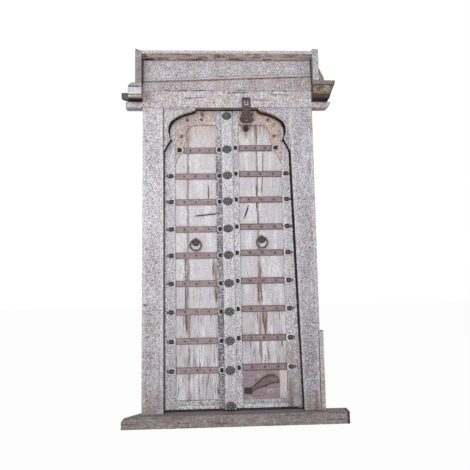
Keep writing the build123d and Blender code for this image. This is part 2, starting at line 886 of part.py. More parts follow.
def collect_parts():
    """Every sub-part by its name."""
    parts = {
        "sill": make_sill(),
        "left_post": make_left_post(),
        "right_post": make_right_post(),
        "post_repair_strip": make_repair_strip(),
        "lintel": make_lintel(),
        "left_spandrel": make_spandrel(-1),
        "right_spandrel": make_spandrel(1),
        "lower_frieze_board": make_lower_frieze(),
        "upper_frieze_board": make_upper_frieze(),
        "cornice_top_board": make_top_board(),
        "left_end_board": make_end_board(-1, corbel_z + left_corbel_height),
        "right_end_board": make_end_board(1, corbel_z + right_corbel_height),
        "left_corbel": make_left_corbel(),
        "right_corbel": make_right_corbel(),
        "head_beam": make_head_beam(),
        "hasp_staple": make_staple(hasp_x, lintel_staple_z, -lintel_proud, staple_reach, staple_bury),
        "hasp": make_hasp(),
        "astragal": make_astragal(),
        "astragal_bosses": make_bosses(),
        "leaf_staple": make_leaf_staple(),
        "repair_board": make_repair_board(),
        "repair_upright": make_repair_upright(),
        "latch_bar": make_latch_bar(),
        "latch_studs": make_latch_studs(),
    }
    for name, side, row_heights in (("left", -1, rows), ("right", 1, right_rows)):
        parts[f"{name}_pivot_stile"] = make_pivot_stile(side, row_heights)
        parts[f"{name}_meeting_stile"] = make_meeting_stile(side, row_heights)
        parts[f"{name}_arch_rail"] = make_arch_rail(side, row_heights[0])
        parts[f"{name}_bottom_rail"] = make_bottom_rail(side)
        outer, inner = make_planks(side)
        parts[f"{name}_outer_plank"] = outer
        parts[f"{name}_inner_plank"] = inner
        for number, z in enumerate(row_heights, start=1):
            parts[f"{name}_strap_{number}"] = make_strap(side, z)
        parts[f"{name}_nails"] = make_nails(side, row_heights)
    right_eye_z = ring_eye_z + right_row_rise
    parts["left_ring_mount"] = make_ring_mount(-ring_x, ring_eye_z)
    parts["left_ring"] = make_ring(-ring_x, ring_eye_z)
    parts["right_ring_mount"] = make_ring_mount(right_ring_x, right_eye_z)
    parts["right_ring"] = make_ring(right_ring_x, right_eye_z)
    return parts


os.makedirs("parts", exist_ok=True)
for name, shape in collect_parts().items():
    export_step(shape, f"parts/{name}.step")
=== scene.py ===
import math

import bpy
import numpy as np
from mathutils import Matrix, Vector


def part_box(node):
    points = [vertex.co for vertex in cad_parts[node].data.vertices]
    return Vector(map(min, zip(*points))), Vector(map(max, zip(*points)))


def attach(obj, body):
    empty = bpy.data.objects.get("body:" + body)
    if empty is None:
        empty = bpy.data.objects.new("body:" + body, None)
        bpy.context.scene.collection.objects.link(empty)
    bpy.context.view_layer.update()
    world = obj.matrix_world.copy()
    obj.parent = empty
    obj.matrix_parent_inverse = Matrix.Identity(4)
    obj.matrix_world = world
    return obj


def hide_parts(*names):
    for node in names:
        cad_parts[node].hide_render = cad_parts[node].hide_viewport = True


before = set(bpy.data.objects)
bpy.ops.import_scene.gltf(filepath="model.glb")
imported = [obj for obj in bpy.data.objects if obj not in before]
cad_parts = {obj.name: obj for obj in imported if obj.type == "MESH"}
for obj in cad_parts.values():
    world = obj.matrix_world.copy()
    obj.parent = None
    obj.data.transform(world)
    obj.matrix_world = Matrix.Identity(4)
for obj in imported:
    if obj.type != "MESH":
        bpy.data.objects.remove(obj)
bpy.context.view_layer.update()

# Sizes are in millimetres until a mesh is made, with X across, Y back and Z up as in the frame
MM = 0.001
# Marks painted on the points; the first darkens for dirt and also for painted shade in gaps, on walls and
# along shadow lines
MARKS = ("grime_and_shade", "stain", "bleach", "tone", "shade")
SMOOTH_ANGLE = 50.0

# Camera of the photograph, whose frame is 470 pixels wide
PHOTO_PIXELS = 470
FOCAL_PIXELS = 450.0
SENSOR = 36.0
CAMERA_PLACE = (-0.083, -2.977, 0.908)
CAMERA_YAW = 2.25
CAMERA_PITCH = 5.93
CAMERA_ROLL = -0.96

# Light
SKY_STRENGTH = 0.56
KEY_POWER = 100.0
KEY_SIZE = 3.2
KEY_PLACE = (-0.9, -4.8, 2.3)
KEY_AIM = (0.0, 0.0, 1.2)
FLOOR_REACH = 14.0
FLOOR_WHITE = 0.95
FLOOR_COLOUR = (0.86, 0.86, 0.86, 1.0)
SKY_COLOUR = (0.97, 0.98, 1.0, 1.0)
WHITE = (1.0, 1.0, 1.0, 1.0)

# Repeats in a metre of the woods' and irons' textures; a tint also has a strength
GRAIN_ACROSS = 210.0
GRAIN_ALONG = 9.0
SPECK_SCALE = 150.0
CLOUD_SCALE = 9.0
WOOD_TINTS = ((16.0, 0.22), (140.0, 0.38))
PATCH_SCALE = 22.0
SPOT_SCALE = 75.0
PIT_SCALE = 330.0
IRON_TINT = (110.0, 0.5)
BUMP_STRENGTH = 0.5
BUMP_DISTANCE = 0.0012

# Grids of points over the boards
EDGE_STEPS = np.array([0.0, 0.8, 2.0, 3.6])
CARVED_STEP = 3.4
PLANK_STEP = 3.4
PLANK_LONG_STEP = 7.5
PLAIN_STEP = 5.0
COVERED_STEP = 12.0
WALL_LEVELS = (0.12, 0.4, 0.75, 1.0)
DEEP_LEVELS = (0.04, 0.15, 0.3, 0.45, 0.6, 0.8, 1.0)
BACK = 2.0
BACK_INSET = 0.992
BACK_MARKS = {"grime_and_shade": 0.12, "stain": 0.0, "bleach": 0.1, "tone": 0.15, "shade": 0.45}
CORNICE_LEVELS = (0.02, 0.1, 0.2, 0.3, 0.4, 0.5, 0.6, 0.68, 1.0)

# Widths that set how many grid lines a board of uneven width gets, and lines beside a step in an outline
SPAN = {"post": 140.0, "spandrel": 150.0, "lintel": 118.0, "corbel": 100.0, "nose": 58.0, "cap": 86.0,
        "arch_rail": 150.0, "blade": 60.0}
STEP_LINES = np.array([-0.3, 0.3])

# Carving; a post's bands are shares of its width, and a twist is a pitch and a lean
POST_REPEATS = 30
POST_CHAIN = (0.23, 0.77)
POST_CORD = (0.05, 0.17)
POST_MARGIN = (0.85, 0.93)
POST_GROOVES = (0.20, 0.80)
POST_LOZENGE = (23.0, 29.0)
POST_CUT = 3.6
STILE_LOZENGE = (15.0, 14.0)
STILE_REPEATS = 4
STILE_CUT = 3.4
PAD_HEIGHT = 40.0
OUTER_PAD = 44.0
INNER_PAD = 34.0
GROOVE_CUT = 4.0
GROOVE_WIDTH = 3.0
DIAPER_PITCH = {"spandrel": 34.0, "lower": 27.0, "upper": 31.0, "arch_rail": 30.0, "bottom_rail": 24.0}
TWIST = {"cord": (17.0, 30.0), "margin": (24.0, -40.0), "strip": (19.0, 25.0), "end_board": (26.0, 34.0),
         "astragal": (13.0, 22.0)}
FRIEZE_PETAL = 21.0
FRIEZE_SCROLL = 30.0
FRIEZE_GROOVE_DROP = 9.0
FRIEZE_GROOVE_RISE = 22.0
FRIEZE_NAIL = (-272.0, 2388.0)
POST_NAIL = (-559.0, 767.0)
LATCH_TILT = 19.5
STILE_BAND = 20.0
STILE_LINE = 21.5
ARCH_SHALLOW_DROP = 110.0
# How far the painted shadow lines on the leaves reach from the arch and from the jambs, in millimetres
ARCH_SHADOW_WIDTH = {"left": 6.0, "right": 8.0}
JAMB_SHADOW = {"left": 0.5, "right": 2.0}
RIM_INSET = 9.0

# Parts of the leaves; a pad's steps are shares of its outline and distances behind the leaf's front
PIN_RADIUS = 15.0
PAD_STEPS = ((1.0, 2.0), (1.0, -2.6), (0.95, -4.0), (0.80, -4.0), (0.72, -2.4))
PAD_CORNERS = 15
ARCH_RAIL_STEP = 3.0
ARCH_RAIL_RIM = 8.0
PLANK_GAP = 0.2
BLOCK_GAP = 0.5
STRAP_HALF = 21.0
BOTTOM_RAIL_STEP = 2.4
RAIL_ROSE_SHIFT = 20.0
RAIL_ROSE_DROP = 16.0
RAIL_ROSE_RADIUS = 14.0
RAIL_BAND = (-29.0, -2.0)
RAIL_LINE = 26.5
STRAP_DENT = 5.0
TAB_INSET = 9.0
TAB_REACH = 14.0
TAB_HALF = 8.0
TAB_STEP = 4.0
TAB_FRONT = -5.2
TAB_BACK = 1.0
ASTRAGAL_PITCH = 33.0
ASTRAGAL_LOZENGE = (13.0, 14.0)
ASTRAGAL_BAND = 21.0
ASTRAGAL_TURN = 12.0
ASTRAGAL_LEAST = 1.5
NAIL_MOST = 6.5
STUD_MOST = 10.0
NAIL_ROOT = 1.5
BOSS_ROOT = 1.0

# Parts of the frame; splits are paths of X and Z
TENON_HALF = np.array([35.0, 13.0])
POST_ROT = 535.0
DOORWAY_HALF = 445.0
HORN_CORNER = 24.0
LINTEL_STEP = 3.8
LINTEL_RISE_STEP = 3.6
LINTEL_BLOTCH = (-545.0, 2172.0)
LINTEL_SPLITS = [
    [(-330, 2158), (-230, 2163), (-150, 2166)],
    [(-40, 2198), (60, 2201), (190, 2204)],
    [(150, 2150), (330, 2144)],
    [(-520, 2190), (-420, 2196)],
    [(260, 2190), (470, 2182)],
]
CORNICE_STEP = 3.0
CORBEL_HOLLOWS = (0.20, 0.74)
LEFT_CORBEL_REACH = 89.0
LEFT_CORBEL_TURN = 34.0
NOSE_LOW = 14.0
NOSE_HIGH = 72.0
NOSE_TIP_RISE = 23.2
NOSE_THICKNESS = 40.0
NOSE_STEP = 4.0
RIGHT_CORBEL_HEIGHT = 122.0
CAP_WIDTH = 34.0
CAP_RIM = 14.0
CAP_STEP = 3.0
SILL_STEP = 3.5
SILL_WEAR_RUN = 105.0
SILL_WEAR_DROP = 28.0
SILL_SHADOW = 4.0


def srgb(red, green, blue):
    """A colour given as it looks on a screen, from 0 to 255, as a shader takes it."""
    values = [channel / 255 for channel in (red, green, blue)]
    return tuple(v / 12.92 if v <= 0.04045 else ((v + 0.055) / 1.055) ** 2.4 for v in values) + (1.0,)


# Noise and shaping functions

def smooth(value, low, high):
    """0 below low, 1 above high and an eased step between."""
    share = np.clip((value - low) / (high - low), 0, 1)
    return share * share * (3 - 2 * share)


def bell(value, width):
    return np.exp(-(value / width) ** 2)


def window(value, low, high, soft):
    """1 between low and high, with soft edges."""
    return smooth(value, low, low + soft) * (1 - smooth(value, high - soft, high))


def lattice(column, row, seed):
    """A repeatable random number from 0 to 1 for each point of a lattice."""
    mixed = (column * 374761393 + row * 668265263 + seed * 974634777) & 0xFFFFFFFF
    mixed = ((mixed ^ (mixed >> 13)) * 1274126177) & 0xFFFFFFFF
    return ((mixed ^ (mixed >> 16)) & 0xFFFF) / 0xFFFF


def noise(x, z, width, height, seed):
    """Smooth noise from 0 to 1 with features of that width and height."""
    u, v = np.broadcast_arrays(x / width, z / height)
    column = np.floor(u).astype(np.int64)
    row = np.floor(v).astype(np.int64)
    u, v = u - column, v - row

    def slope(right, up):
        turn = 2 * math.pi * lattice(column + right, row + up, seed)
        return np.cos(turn) * (u - right) + np.sin(turn) * (v - up)

    s, t = smooth(u, 0, 1), smooth(v, 0, 1)
    low = slope(0, 0) * (1 - s) + slope(1, 0) * s
    high = slope(0, 1) * (1 - s) + slope(1, 1) * s
    return np.clip(0.5 + 0.85 * (low * (1 - t) + high * t), 0, 1)


def fractal(x, z, width, height, seed, octaves=3):
    """Several layers of noise, each half the size and weight of the one before."""
    total = 0.0
    weight = 0.0
    for octave in range(octaves):
        part = 0.5 ** octave
        total = total + part * noise(x, z, width * part, height * part, seed + octave)
        weight += part
    return total / weight


def patches(x, z, width, height, seed, low, high):
    """1 in patches where the noise is over high, 0 where it is under low."""
    return smooth(fractal(x, z, width, height, seed), low, high)


def hump(share, power=2):
    """Height of a round hump: 1 at its middle and 0 at its rim, where the share is 1."""
    return np.sqrt(np.clip(1 - share ** power, 0, 1))


def repeat(value, pitch, start):
    """The place within a repeat, from minus to plus half a pitch."""
    return (value - start) % pitch - pitch / 2


def path_distance(x, z, path):
    """How far points lie from a bent line."""
    best = np.full(np.shape(x), np.inf)
    for (x0, z0), (x1, z1) in zip(path, path[1:]):
        dx, dz = x1 - x0, z1 - z0
        share = np.clip(((x - x0) * dx + (z - z0) * dz) / (dx * dx + dz * dz), 0, 1)
        best = np.minimum(best, np.hypot(x - x0 - share * dx, z - z0 - share * dz))
    return best


# Shapes and objects

class Shape:
    """A closed surface. Each point has a depth of cut, a place on a wall and a distance from the border."""

    def __init__(self, points, quads, caps, depth=0.0, wall=0.0, edge=100.0):
        self.points = np.asarray(points, float)
        self.quads = np.asarray(quads, np.int64).reshape(-1, 4)
        self.caps = [np.asarray(cap, np.int64) for cap in caps]
        count = len(self.points)
        self.depth = np.broadcast_to(depth, count)
        self.wall = np.broadcast_to(wall, count)
        self.edge = np.broadcast_to(edge, count)
        self.marks = {name: np.zeros(count) for name in MARKS}

    @property
    def x(self):
        return self.points[:, 0]

    @property
    def z(self):
        return self.points[:, 2]

    @property
    def face(self):
        """True for points on the front."""
        return self.wall == 0

    def mark(self, **values):
        """Sets marks; a board's back takes the same marks all over."""
        for name, value in values.items():
            self.marks[name] = np.clip(np.where(self.wall == BACK, BACK_MARKS[name], value), 0, 1)
        return self

    def darken(self, *layers):
        """Adds dark layers, dirt and painted shade alike, where they are darker than what is there."""
        for layer in layers:
            self.mark(grime_and_shade=np.maximum(self.marks["grime_and_shade"], layer))


def lines(low, high, step):
    """Grid lines from low to high, closer together at both edges, where the wood is worn round."""
    count = max(2, int(round((high - low) / step)))
    inner = np.linspace(low + EDGE_STEPS[-1], high - EDGE_STEPS[-1], count)
    return np.concatenate([low + EDGE_STEPS[:-1], inner, high - EDGE_STEPS[-2::-1]])


def edge_distance(x, z):
    """How far each grid point lies from the border, measured along the grid's own lines."""
    best = np.full(x.shape, np.inf)
    for axis in (0, 1):
        step = np.hypot(np.diff(x, axis=axis), np.diff(z, axis=axis))
        run = np.cumsum(step, axis=axis)
        zero = np.zeros_like(np.take(run, [0], axis=axis))
        run = np.concatenate([zero, run], axis=axis)
        best = np.minimum(best, np.minimum(run, np.take(run, [-1], axis=axis) - run))
    return best


def laid(x, z):
    """A grid with its columns from left to right, and each point's distance from its border."""
    if x[:, 0].sum() > x[:, -1].sum():
        x, z = x[:, ::-1], z[:, ::-1]
    return x, z, edge_distance(x, z)


def square_grid(x_lines, z_lines):
    return laid(*np.meshgrid(x_lines, z_lines))


def grid(low, high, step, rise):
    """A grid over the front of a box."""
    return square_grid(lines(low[0], high[0], step), lines(low[2], high[2], rise))


def shares(span, step=CARVED_STEP):
    """Grid lines over a span, as shares of it."""
    return lines(0, span, step) / span


def level_grid(x_lines, bottom, top, across):
    """A grid between a lower and an upper edge, which are given along its length."""
    z = bottom + (top - bottom) * across[:, None]
    return laid(np.broadcast_to(x_lines, z.shape), z)


def upright_grid(z_lines, start, end, across):
    """A grid between two upright edges, which are given along its height."""
    x = start[:, None] + (end - start)[:, None] * across
    return laid(x, np.broadcast_to(z_lines[:, None], x.shape))


def arris(edge, radius):
    """Depth of a rounded edge of that radius."""
    inside = np.clip(radius - edge, 0, radius)
    return radius - np.sqrt(np.maximum(radius ** 2 - inside ** 2, 0))


def band(first, second):
    """Faces between two closed rings of points."""
    return np.stack([first, second, np.roll(second, -1), np.roll(first, -1)], -1)


def plate(x, z, front, back, depth, edge, levels=WALL_LEVELS):
    """A board over a grid of points: a front sunk by depth, straight walls and a flat back marked BACK."""
    rows, columns = x.shape
    index = np.arange(rows * columns).reshape(rows, columns)
    corners = (index[:-1, :-1], index[:-1, 1:], index[1:, 1:], index[1:, :-1])
    quads = [np.stack(corners, -1).reshape(-1, 4)]
    ring = np.concatenate([index[0, :-1], index[:-1, -1], index[-1, :0:-1], index[:0:-1, 0]])
    points = [np.stack([x, front + depth, z], -1).reshape(-1, 3)]
    border = points[0][ring]
    walls = [np.zeros(x.size)]
    last = ring
    centre = border.mean(0)
    for level in (*levels, BACK):
        y = border[:, 1] + min(level, 1.0) * (back - border[:, 1])
        rim = centre + (border - centre) * (BACK_INSET if level == BACK else 1.0)
        points.append(np.stack([rim[:, 0], y, rim[:, 2]], -1))
        walls.append(np.full(len(ring), level))
        fresh = np.arange(len(ring)) + sum(len(p) for p in points[:-1])
        quads.append(band(last, fresh))
        last = fresh
    extra = len(ring) * (len(levels) + 1)
    return Shape(np.concatenate(points), np.concatenate(quads), [last[::-1]],
                 np.concatenate([depth.ravel(), np.zeros(extra)]), np.concatenate(walls),
                 np.concatenate([edge.ravel(), np.zeros(extra)]))


def lathe_z(x, y, profile, sides=32):
    """A closed round shape about an upright axis; profile is (radius, height) pairs from the bottom up."""
    turn = np.linspace(0, 2 * math.pi, sides, endpoint=False)
    points = []
    for radius, z in profile:
        across, back = radius * np.cos(turn), radius * np.sin(turn)
        points.append(np.stack([x + across, y + back, np.full(sides, z)], -1))
    quads = []
    index = np.arange(sides)
    for level in range(len(profile) - 1):
        quads.append(band(index + (level + 1) * sides, index + level * sides))
    top = index + (len(profile) - 1) * sides
    return Shape(np.concatenate(points), np.concatenate(quads), [index[::-1], top])


def block(low, high):
    """A plain closed box, for what lies inside a joint."""
    x, z = np.meshgrid([low[0], high[0]], [low[2], high[2]])
    return plate(x, z, low[1], high[1], np.zeros((2, 2)), np.zeros((2, 2)), (1.0,))


def dome(x, z, y, half_across, half_up, rise, profile, sides=24, rings=6):
    """A boss that stands forward of y; profile gives its height share at a radius share and an angle."""
    turn = np.linspace(0, 2 * math.pi, sides, endpoint=False)
    points = [np.array([[x, y - rise * profile(np.zeros(1), np.zeros(1))[0], z]])]
    depth = [np.zeros(1)]
    for ring in range(1, rings + 1):
        share = np.full(sides, ring / rings)
        height = profile(share, turn)
        px = x + half_across * share * np.cos(turn)
        pz = z + half_up * share * np.sin(turn)
        points.append(np.stack([px, y - rise * height, pz], -1))
        depth.append(1 - height)
    index = np.arange(sides)
    quads = []
    for ring in range(rings - 1):
        quads.append(band(1 + index + ring * sides, 1 + index + (ring + 1) * sides))
    caps = [np.array([0, 1 + i, 1 + (i + 1) % sides]) for i in range(sides)]
    caps.append((1 + index + (rings - 1) * sides)[::-1])
    return Shape(np.concatenate(points), np.concatenate(quads), caps, np.concatenate(depth))


def make_object(name, shapes, material, slot, body, *nodes):
    """One object from several shapes. It rides on a body and stands for the named nodes."""
    points, loops, totals = [], [], []
    start = 0
    for shape in shapes:
        points.append(shape.points * MM)
        loops.append((shape.quads + start).ravel())
        totals.append(np.full(len(shape.quads), 4))
        for cap in shape.caps:
            loops.append(cap + start)
            totals.append(np.array([len(cap)]))
        start += len(shape.points)
    loops, totals = np.concatenate(loops), np.concatenate(totals)
    mesh = bpy.data.meshes.new(name)
    mesh.vertices.add(start)
    mesh.vertices.foreach_set("co", np.concatenate(points).astype(np.float32).ravel())
    mesh.loops.add(len(loops))
    mesh.loops.foreach_set("vertex_index", loops.astype(np.int32))
    mesh.polygons.add(len(totals))
    mesh.polygons.foreach_set("loop_start", (np.cumsum(totals) - totals).astype(np.int32))
    mesh.update(calc_edges=True)
    for mark in MARKS:
        values = np.concatenate([shape.marks[mark] for shape in shapes])
        mesh.attributes.new(mark, "FLOAT", "POINT").data.foreach_set("value", values.astype(np.float32))
    mesh.polygons.foreach_set("use_smooth", np.ones(len(totals), bool))
    mesh.set_sharp_from_angle(angle=math.radians(SMOOTH_ANGLE))
    mesh.materials.append(material)
    piece = bpy.data.objects.new(name, mesh)
    bpy.context.scene.collection.objects.link(piece)
    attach(piece, body)
    if nodes:
        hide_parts(*nodes)


def make_teak(name, shapes, material, body, node):
    make_object(name, shapes, material, "weathered_teak", body, node)


def node_box(node):
    """Lowest and highest corner of a node, in millimetres."""
    low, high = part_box(node)
    return np.array(low) / MM, np.array(high) / MM


# Materials

class Graph:
    """A material's nodes, with short calls for those that are used often."""

    def __init__(self, name):
        self.material = bpy.data.materials.new(name)
        self.material.use_nodes = True
        self.nodes = self.material.node_tree.nodes
        self.links = self.material.node_tree.links
        self.shader = self.nodes["Principled BSDF"]
        self.coords = self.nodes.new("ShaderNodeTexCoord").outputs["Object"]

    def stretched(self, scale):
        node = self.nodes.new("ShaderNodeMapping")
        node.inputs["Scale"].default_value = scale
        self.links.new(self.coords, node.inputs["Vector"])
        return node.outputs["Vector"]

    def noise(self, vector, scale, detail=4.0, roughness=0.6, coloured=False):
        node = self.nodes.new("ShaderNodeTexNoise")
        node.inputs["Scale"].default_value = scale
        node.inputs["Detail"].default_value = detail
        node.inputs["Roughness"].default_value = roughness
        self.links.new(vector, node.inputs["Vector"])
        return node.outputs["Color" if coloured else "Fac"]

    def mark(self, name):
        node = self.nodes.new("ShaderNodeAttribute")
        node.attribute_name = name
        return node.outputs["Fac"]

    def ramp(self, value, *stops):
        """Stops are (place, colour) pairs, where a number stands for a grey."""
        node = self.nodes.new("ShaderNodeValToRGB")
        points = node.color_ramp.elements
        while len(points) < len(stops):
            points.new(0.5)
        for point, (place, colour) in zip(points, stops):
            point.position = place
            point.color = colour if isinstance(colour, tuple) else (colour, colour, colour, 1.0)
        self.links.new(value, node.inputs["Fac"])
        return node.outputs["Color"]

    def mix(self, factor, base, over):
        """Colour over laid on base as factor says; over is a constant or a socket."""
        node = self.nodes.new("ShaderNodeMix")
        node.data_type = "RGBA"
        self.links.new(factor, node.inputs["Factor"])
        self.links.new(base, node.inputs[6])
        if isinstance(over, tuple):
            node.inputs[7].default_value = over
        else:
            self.links.new(over, node.inputs[7])
        return node.outputs[2]

    def speckled(self, base, scale, strength):
        """The base colour with fine specks of every tint, which keep its mean."""
        node = self.nodes.new("ShaderNodeMix")
        node.data_type = "RGBA"
        node.blend_type = "OVERLAY"
        node.inputs["Factor"].default_value = strength
        self.links.new(base, node.inputs[6])
        self.links.new(self.noise(self.coords, scale, 3.0, 0.6, coloured=True), node.inputs[7])
        return node.outputs[2]

    def sum(self, first, second, weight):
        """The first value and the second times a weight, added."""
        node = self.nodes.new("ShaderNodeMath")
        node.operation = "MULTIPLY_ADD"
        self.links.new(second, node.inputs[0])
        node.inputs[1].default_value = weight
        self.links.new(first, node.inputs[2])
        return node.outputs["Value"]

    def broken(self, mark, texture):
        """A painted mark whose border is broken up by a texture."""
        return self.ramp(self.sum(self.mark(mark), texture, 0.55), (0.36, 0.0), (0.98, 1.0))

    def bump(self, height, strength, distance):
        node = self.nodes.new("ShaderNodeBump")
        node.inputs["Strength"].default_value = strength
        node.inputs["Distance"].default_value = distance
        self.links.new(height, node.inputs["Height"])
        self.links.new(node.outputs["Normal"], self.shader.inputs["Normal"])

    def colour(self, socket):
        self.links.new(socket, self.shader.inputs["Base Color"])

    def roughness(self, texture, low, high):
        grey = self.ramp(texture, (0.3, low), (0.7, high))
        self.links.new(grey, self.shader.inputs["Roughness"])


def old_wood(name, along, *colours):
    """Weathered wood: streaky grain, flecks, brown stains, dirt in the hollows, painted shade on walls and
    in gaps, and bleached high places.
    """
    pale, middle, dark, warm, shade, fleck, stain, grime_and_shade, bleach = (srgb(*colour) for colour in colours)
    graph = Graph(name)
    upright = (GRAIN_ACROSS, GRAIN_ACROSS, GRAIN_ALONG)
    grain = graph.noise(graph.stretched(upright if along == "z" else upright[::-1]), 1.0, 6.0, 0.62)
    speck = graph.noise(graph.coords, SPECK_SCALE, 3.0, 0.6)
    cloud = graph.noise(graph.coords, CLOUD_SCALE, 5.0, 0.6)
    colour = graph.ramp(grain, (0.30, dark), (0.48, middle), (0.66, pale))
    colour = graph.mix(graph.mark("tone"), colour, warm)
    colour = graph.mix(graph.mark("shade"), colour, shade)
    colour = graph.mix(graph.broken("bleach", cloud), colour, bleach)
    colour = graph.mix(graph.ramp(speck, (0.46, 0.0), (0.63, 1.0)), colour, fleck)
    for scale, strength in WOOD_TINTS:
        colour = graph.speckled(colour, scale, strength)
    colour = graph.mix(graph.broken("stain", grain), colour, stain)
    # Darkens towards near-black for dirt and for painted shade
    colour = graph.mix(graph.broken("grime_and_shade", speck), colour, grime_and_shade)
    graph.colour(colour)
    graph.roughness(grain, 0.72, 0.92)
    graph.shader.inputs["Specular IOR Level"].default_value = 0.25
    graph.bump(graph.sum(grain, speck, 0.6), BUMP_STRENGTH, BUMP_DISTANCE)
    return graph.material


def old_iron(name, metallic, smoothest, *colours):
    """Old wrought iron: patches of several tones, dark edges and sides that are partly painted shade, pits,
    rust and rubbed places.
    """
    main, second, third, dark, rust, worn_to = (srgb(*colour) for colour in colours)
    graph = Graph(name)
    patch = graph.noise(graph.coords, PATCH_SCALE, 4.0, 0.6)
    spot = graph.noise(graph.coords, SPOT_SCALE, 5.0, 0.65)
    pit = graph.noise(graph.coords, PIT_SCALE, 4.0, 0.6)
    colour = graph.ramp(patch, (0.30, second), (0.50, main), (0.70, third))
    colour = graph.mix(graph.broken("bleach", spot), colour, worn_to)
    colour = graph.mix(graph.ramp(spot, (0.52, 0.0), (0.72, 0.5)), colour, dark)
    colour = graph.speckled(colour, *IRON_TINT)
    colour = graph.mix(graph.broken("stain", spot), colour, rust)
    # Darkens for dirt and for painted shade on the sides
    colour = graph.mix(graph.broken("grime_and_shade", spot), colour, dark)
    graph.colour(colour)
    graph.roughness(spot, smoothest, smoothest + 0.25)
    graph.shader.inputs["Metallic"].default_value = metallic
    graph.bump(graph.sum(spot, pit, 0.6), BUMP_STRENGTH, BUMP_DISTANCE)
    return graph.material


def carved_teak(name, along):
    """The carved teak, with its grain upright or level."""
    return old_wood(name, along, (246, 244, 250), (235, 232, 239), (210, 205, 211), (228, 201, 187),
                    (156, 151, 157), (146, 137, 141), (150, 114, 96), (32, 25, 25), (250, 248, 254))


TEAK_UP = carved_teak("teak_upright", "z")
TEAK_LEVEL = carved_teak("teak_level", "x")
PLANK = old_wood("bleached_plank", "z", (237, 234, 237), (228, 224, 228), (208, 202, 206), (226, 206, 193),
                 (180, 171, 176), (200, 192, 196), (158, 130, 119), (62, 47, 45), (240, 238, 242))
SILL = old_wood("sill_teak", "x", (174, 166, 166), (153, 144, 145), (124, 115, 116), (150, 133, 127),
                (110, 104, 107), (120, 111, 112), (124, 102, 95), (46, 39, 39), (182, 176, 177))
REPAIR = old_wood("repair_teak", "x", (194, 178, 184), (174, 158, 165), (144, 128, 135), (178, 154, 152),
                  (130, 116, 124), (140, 124, 130), (126, 98, 92), (56, 44, 46), (204, 192, 197))
STRAP = old_iron("strap_iron", 0.1, 0.6, (164, 144, 147), (148, 134, 139), (170, 142, 141),
                 (98, 80, 82), (154, 120, 108), (180, 166, 169))
IRON = old_iron("black_iron", 0.2, 0.5, (78, 60, 64), (60, 47, 52), (104, 82, 82),
                (28, 21, 22), (100, 68, 58), (140, 130, 122))
RING_IRON = old_iron("ring_iron", 0.25, 0.45, (104, 90, 85), (86, 75, 73), (122, 105, 97),
                     (48, 40, 38), (104, 78, 64), (160, 150, 142))
LATCH_IRON = old_iron("latch_iron", 0.1, 0.6, (126, 108, 112), (110, 95, 99), (138, 118, 118),
                      (46, 37, 39), (112, 86, 80), (158, 144, 146))
BOSS = old_iron("boss_iron", 0.2, 0.48, (138, 135, 127), (116, 115, 113), (152, 143, 127),
                (42, 39, 37), (124, 104, 84), (196, 194, 188))
CORBEL = old_wood("corbel_teak", "x", (176, 156, 136), (148, 129, 110), (110, 94, 80), (172, 140, 116),
                  (158, 149, 150), (98, 84, 74), (98, 73, 58), (40, 33, 30), (188, 176, 164))


# Places read from the frame

SILL_LOW, SILL_HIGH = node_box("sill")
POST_LOW, POST_HIGH = node_box("left_post")
LINTEL_LOW, LINTEL_HIGH = node_box("lintel")
SILL_TOP = SILL_HIGH[2]
LINTEL_Z = LINTEL_LOW[2]
POST_PITCH = (LINTEL_Z - SILL_TOP) / POST_REPEATS
POST_LINES = lines(SILL_TOP, LINTEL_Z, CARVED_STEP)
RAIL_LOW, RAIL_HIGH = node_box("left_bottom_rail")
LEAF_FRONT, LEAF_BACK = RAIL_LOW[1], RAIL_HIGH[1]
LEAF_LOW, LEAF_HIGH = RAIL_LOW[2], node_box("left_arch_rail")[1][2]
LEAF_LINES = lines(LEAF_LOW, LEAF_HIGH, CARVED_STEP)
SIDES = {"left": -1, "right": 1}
STRAP_COUNT = 9
STRAP_NAILS = (0.22, 0.50, 0.80)


def strap_rows(side):
    """The straps' middle heights on a leaf, from the top down."""
    boxes = [node_box(f"{side}_strap_{number}") for number in range(1, STRAP_COUNT + 1)]
    return [(low[2] + high[2]) / 2 for low, high in boxes]


ROWS = {side: strap_rows(side) for side in SIDES}


def panel_edges(side):
    """The outer and the inner edge of a leaf's panel."""
    low, high = node_box(f"{side}_bottom_rail")
    return (low[0], high[0]) if side == "left" else (high[0], low[0])


def front_points(node, y):
    """Corners of a node's outline in the plane at y, as X and Z."""
    points = np.array([vertex.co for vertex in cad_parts[node].data.vertices]) / MM
    return np.unique(np.round(points[np.abs(points[:, 1] - y) < 0.05][:, [0, 2]], 2), axis=0)


def front_back(node, x):
    """How far back a node reaches at its end at x."""
    points = np.array([vertex.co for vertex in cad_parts[node].data.vertices]) / MM
    return points[np.abs(points[:, 0] - x) < 0.1][:, 1].max()


def islands(node):
    """Lowest and highest corners of a node's separate solids."""
    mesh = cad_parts[node].data
    points = np.array([vertex.co for vertex in mesh.vertices]) / MM
    places, keys = np.unique(np.round(points, 2), axis=0, return_inverse=True)
    keys = keys.ravel()
    pairs = keys[np.array([edge.vertices[:] for edge in mesh.edges])]
    group = np.arange(len(places))
    while True:
        joined = group.copy()
        np.minimum.at(joined, pairs[:, 0], group[pairs[:, 1]])
        np.minimum.at(joined, pairs[:, 1], group[pairs[:, 0]])
        joined = joined[joined]
        if np.array_equal(joined, group):
            break
        group = joined
    return [(places[group == label].min(0), places[group == label].max(0)) for label in np.unique(group)]


# Carving

def flower(u, v, radius, petals):
    """Height from 0 to 1 of a round flower with an eye and petals."""
    r = np.hypot(u, v) / radius
    rim = 0.74 + 0.26 * np.cos(petals * np.arctan2(v, u))
    petal = hump(r / rim) * smooth(r, 0.16, 0.34)
    return np.maximum(0.85 * petal, hump(r / 0.28))


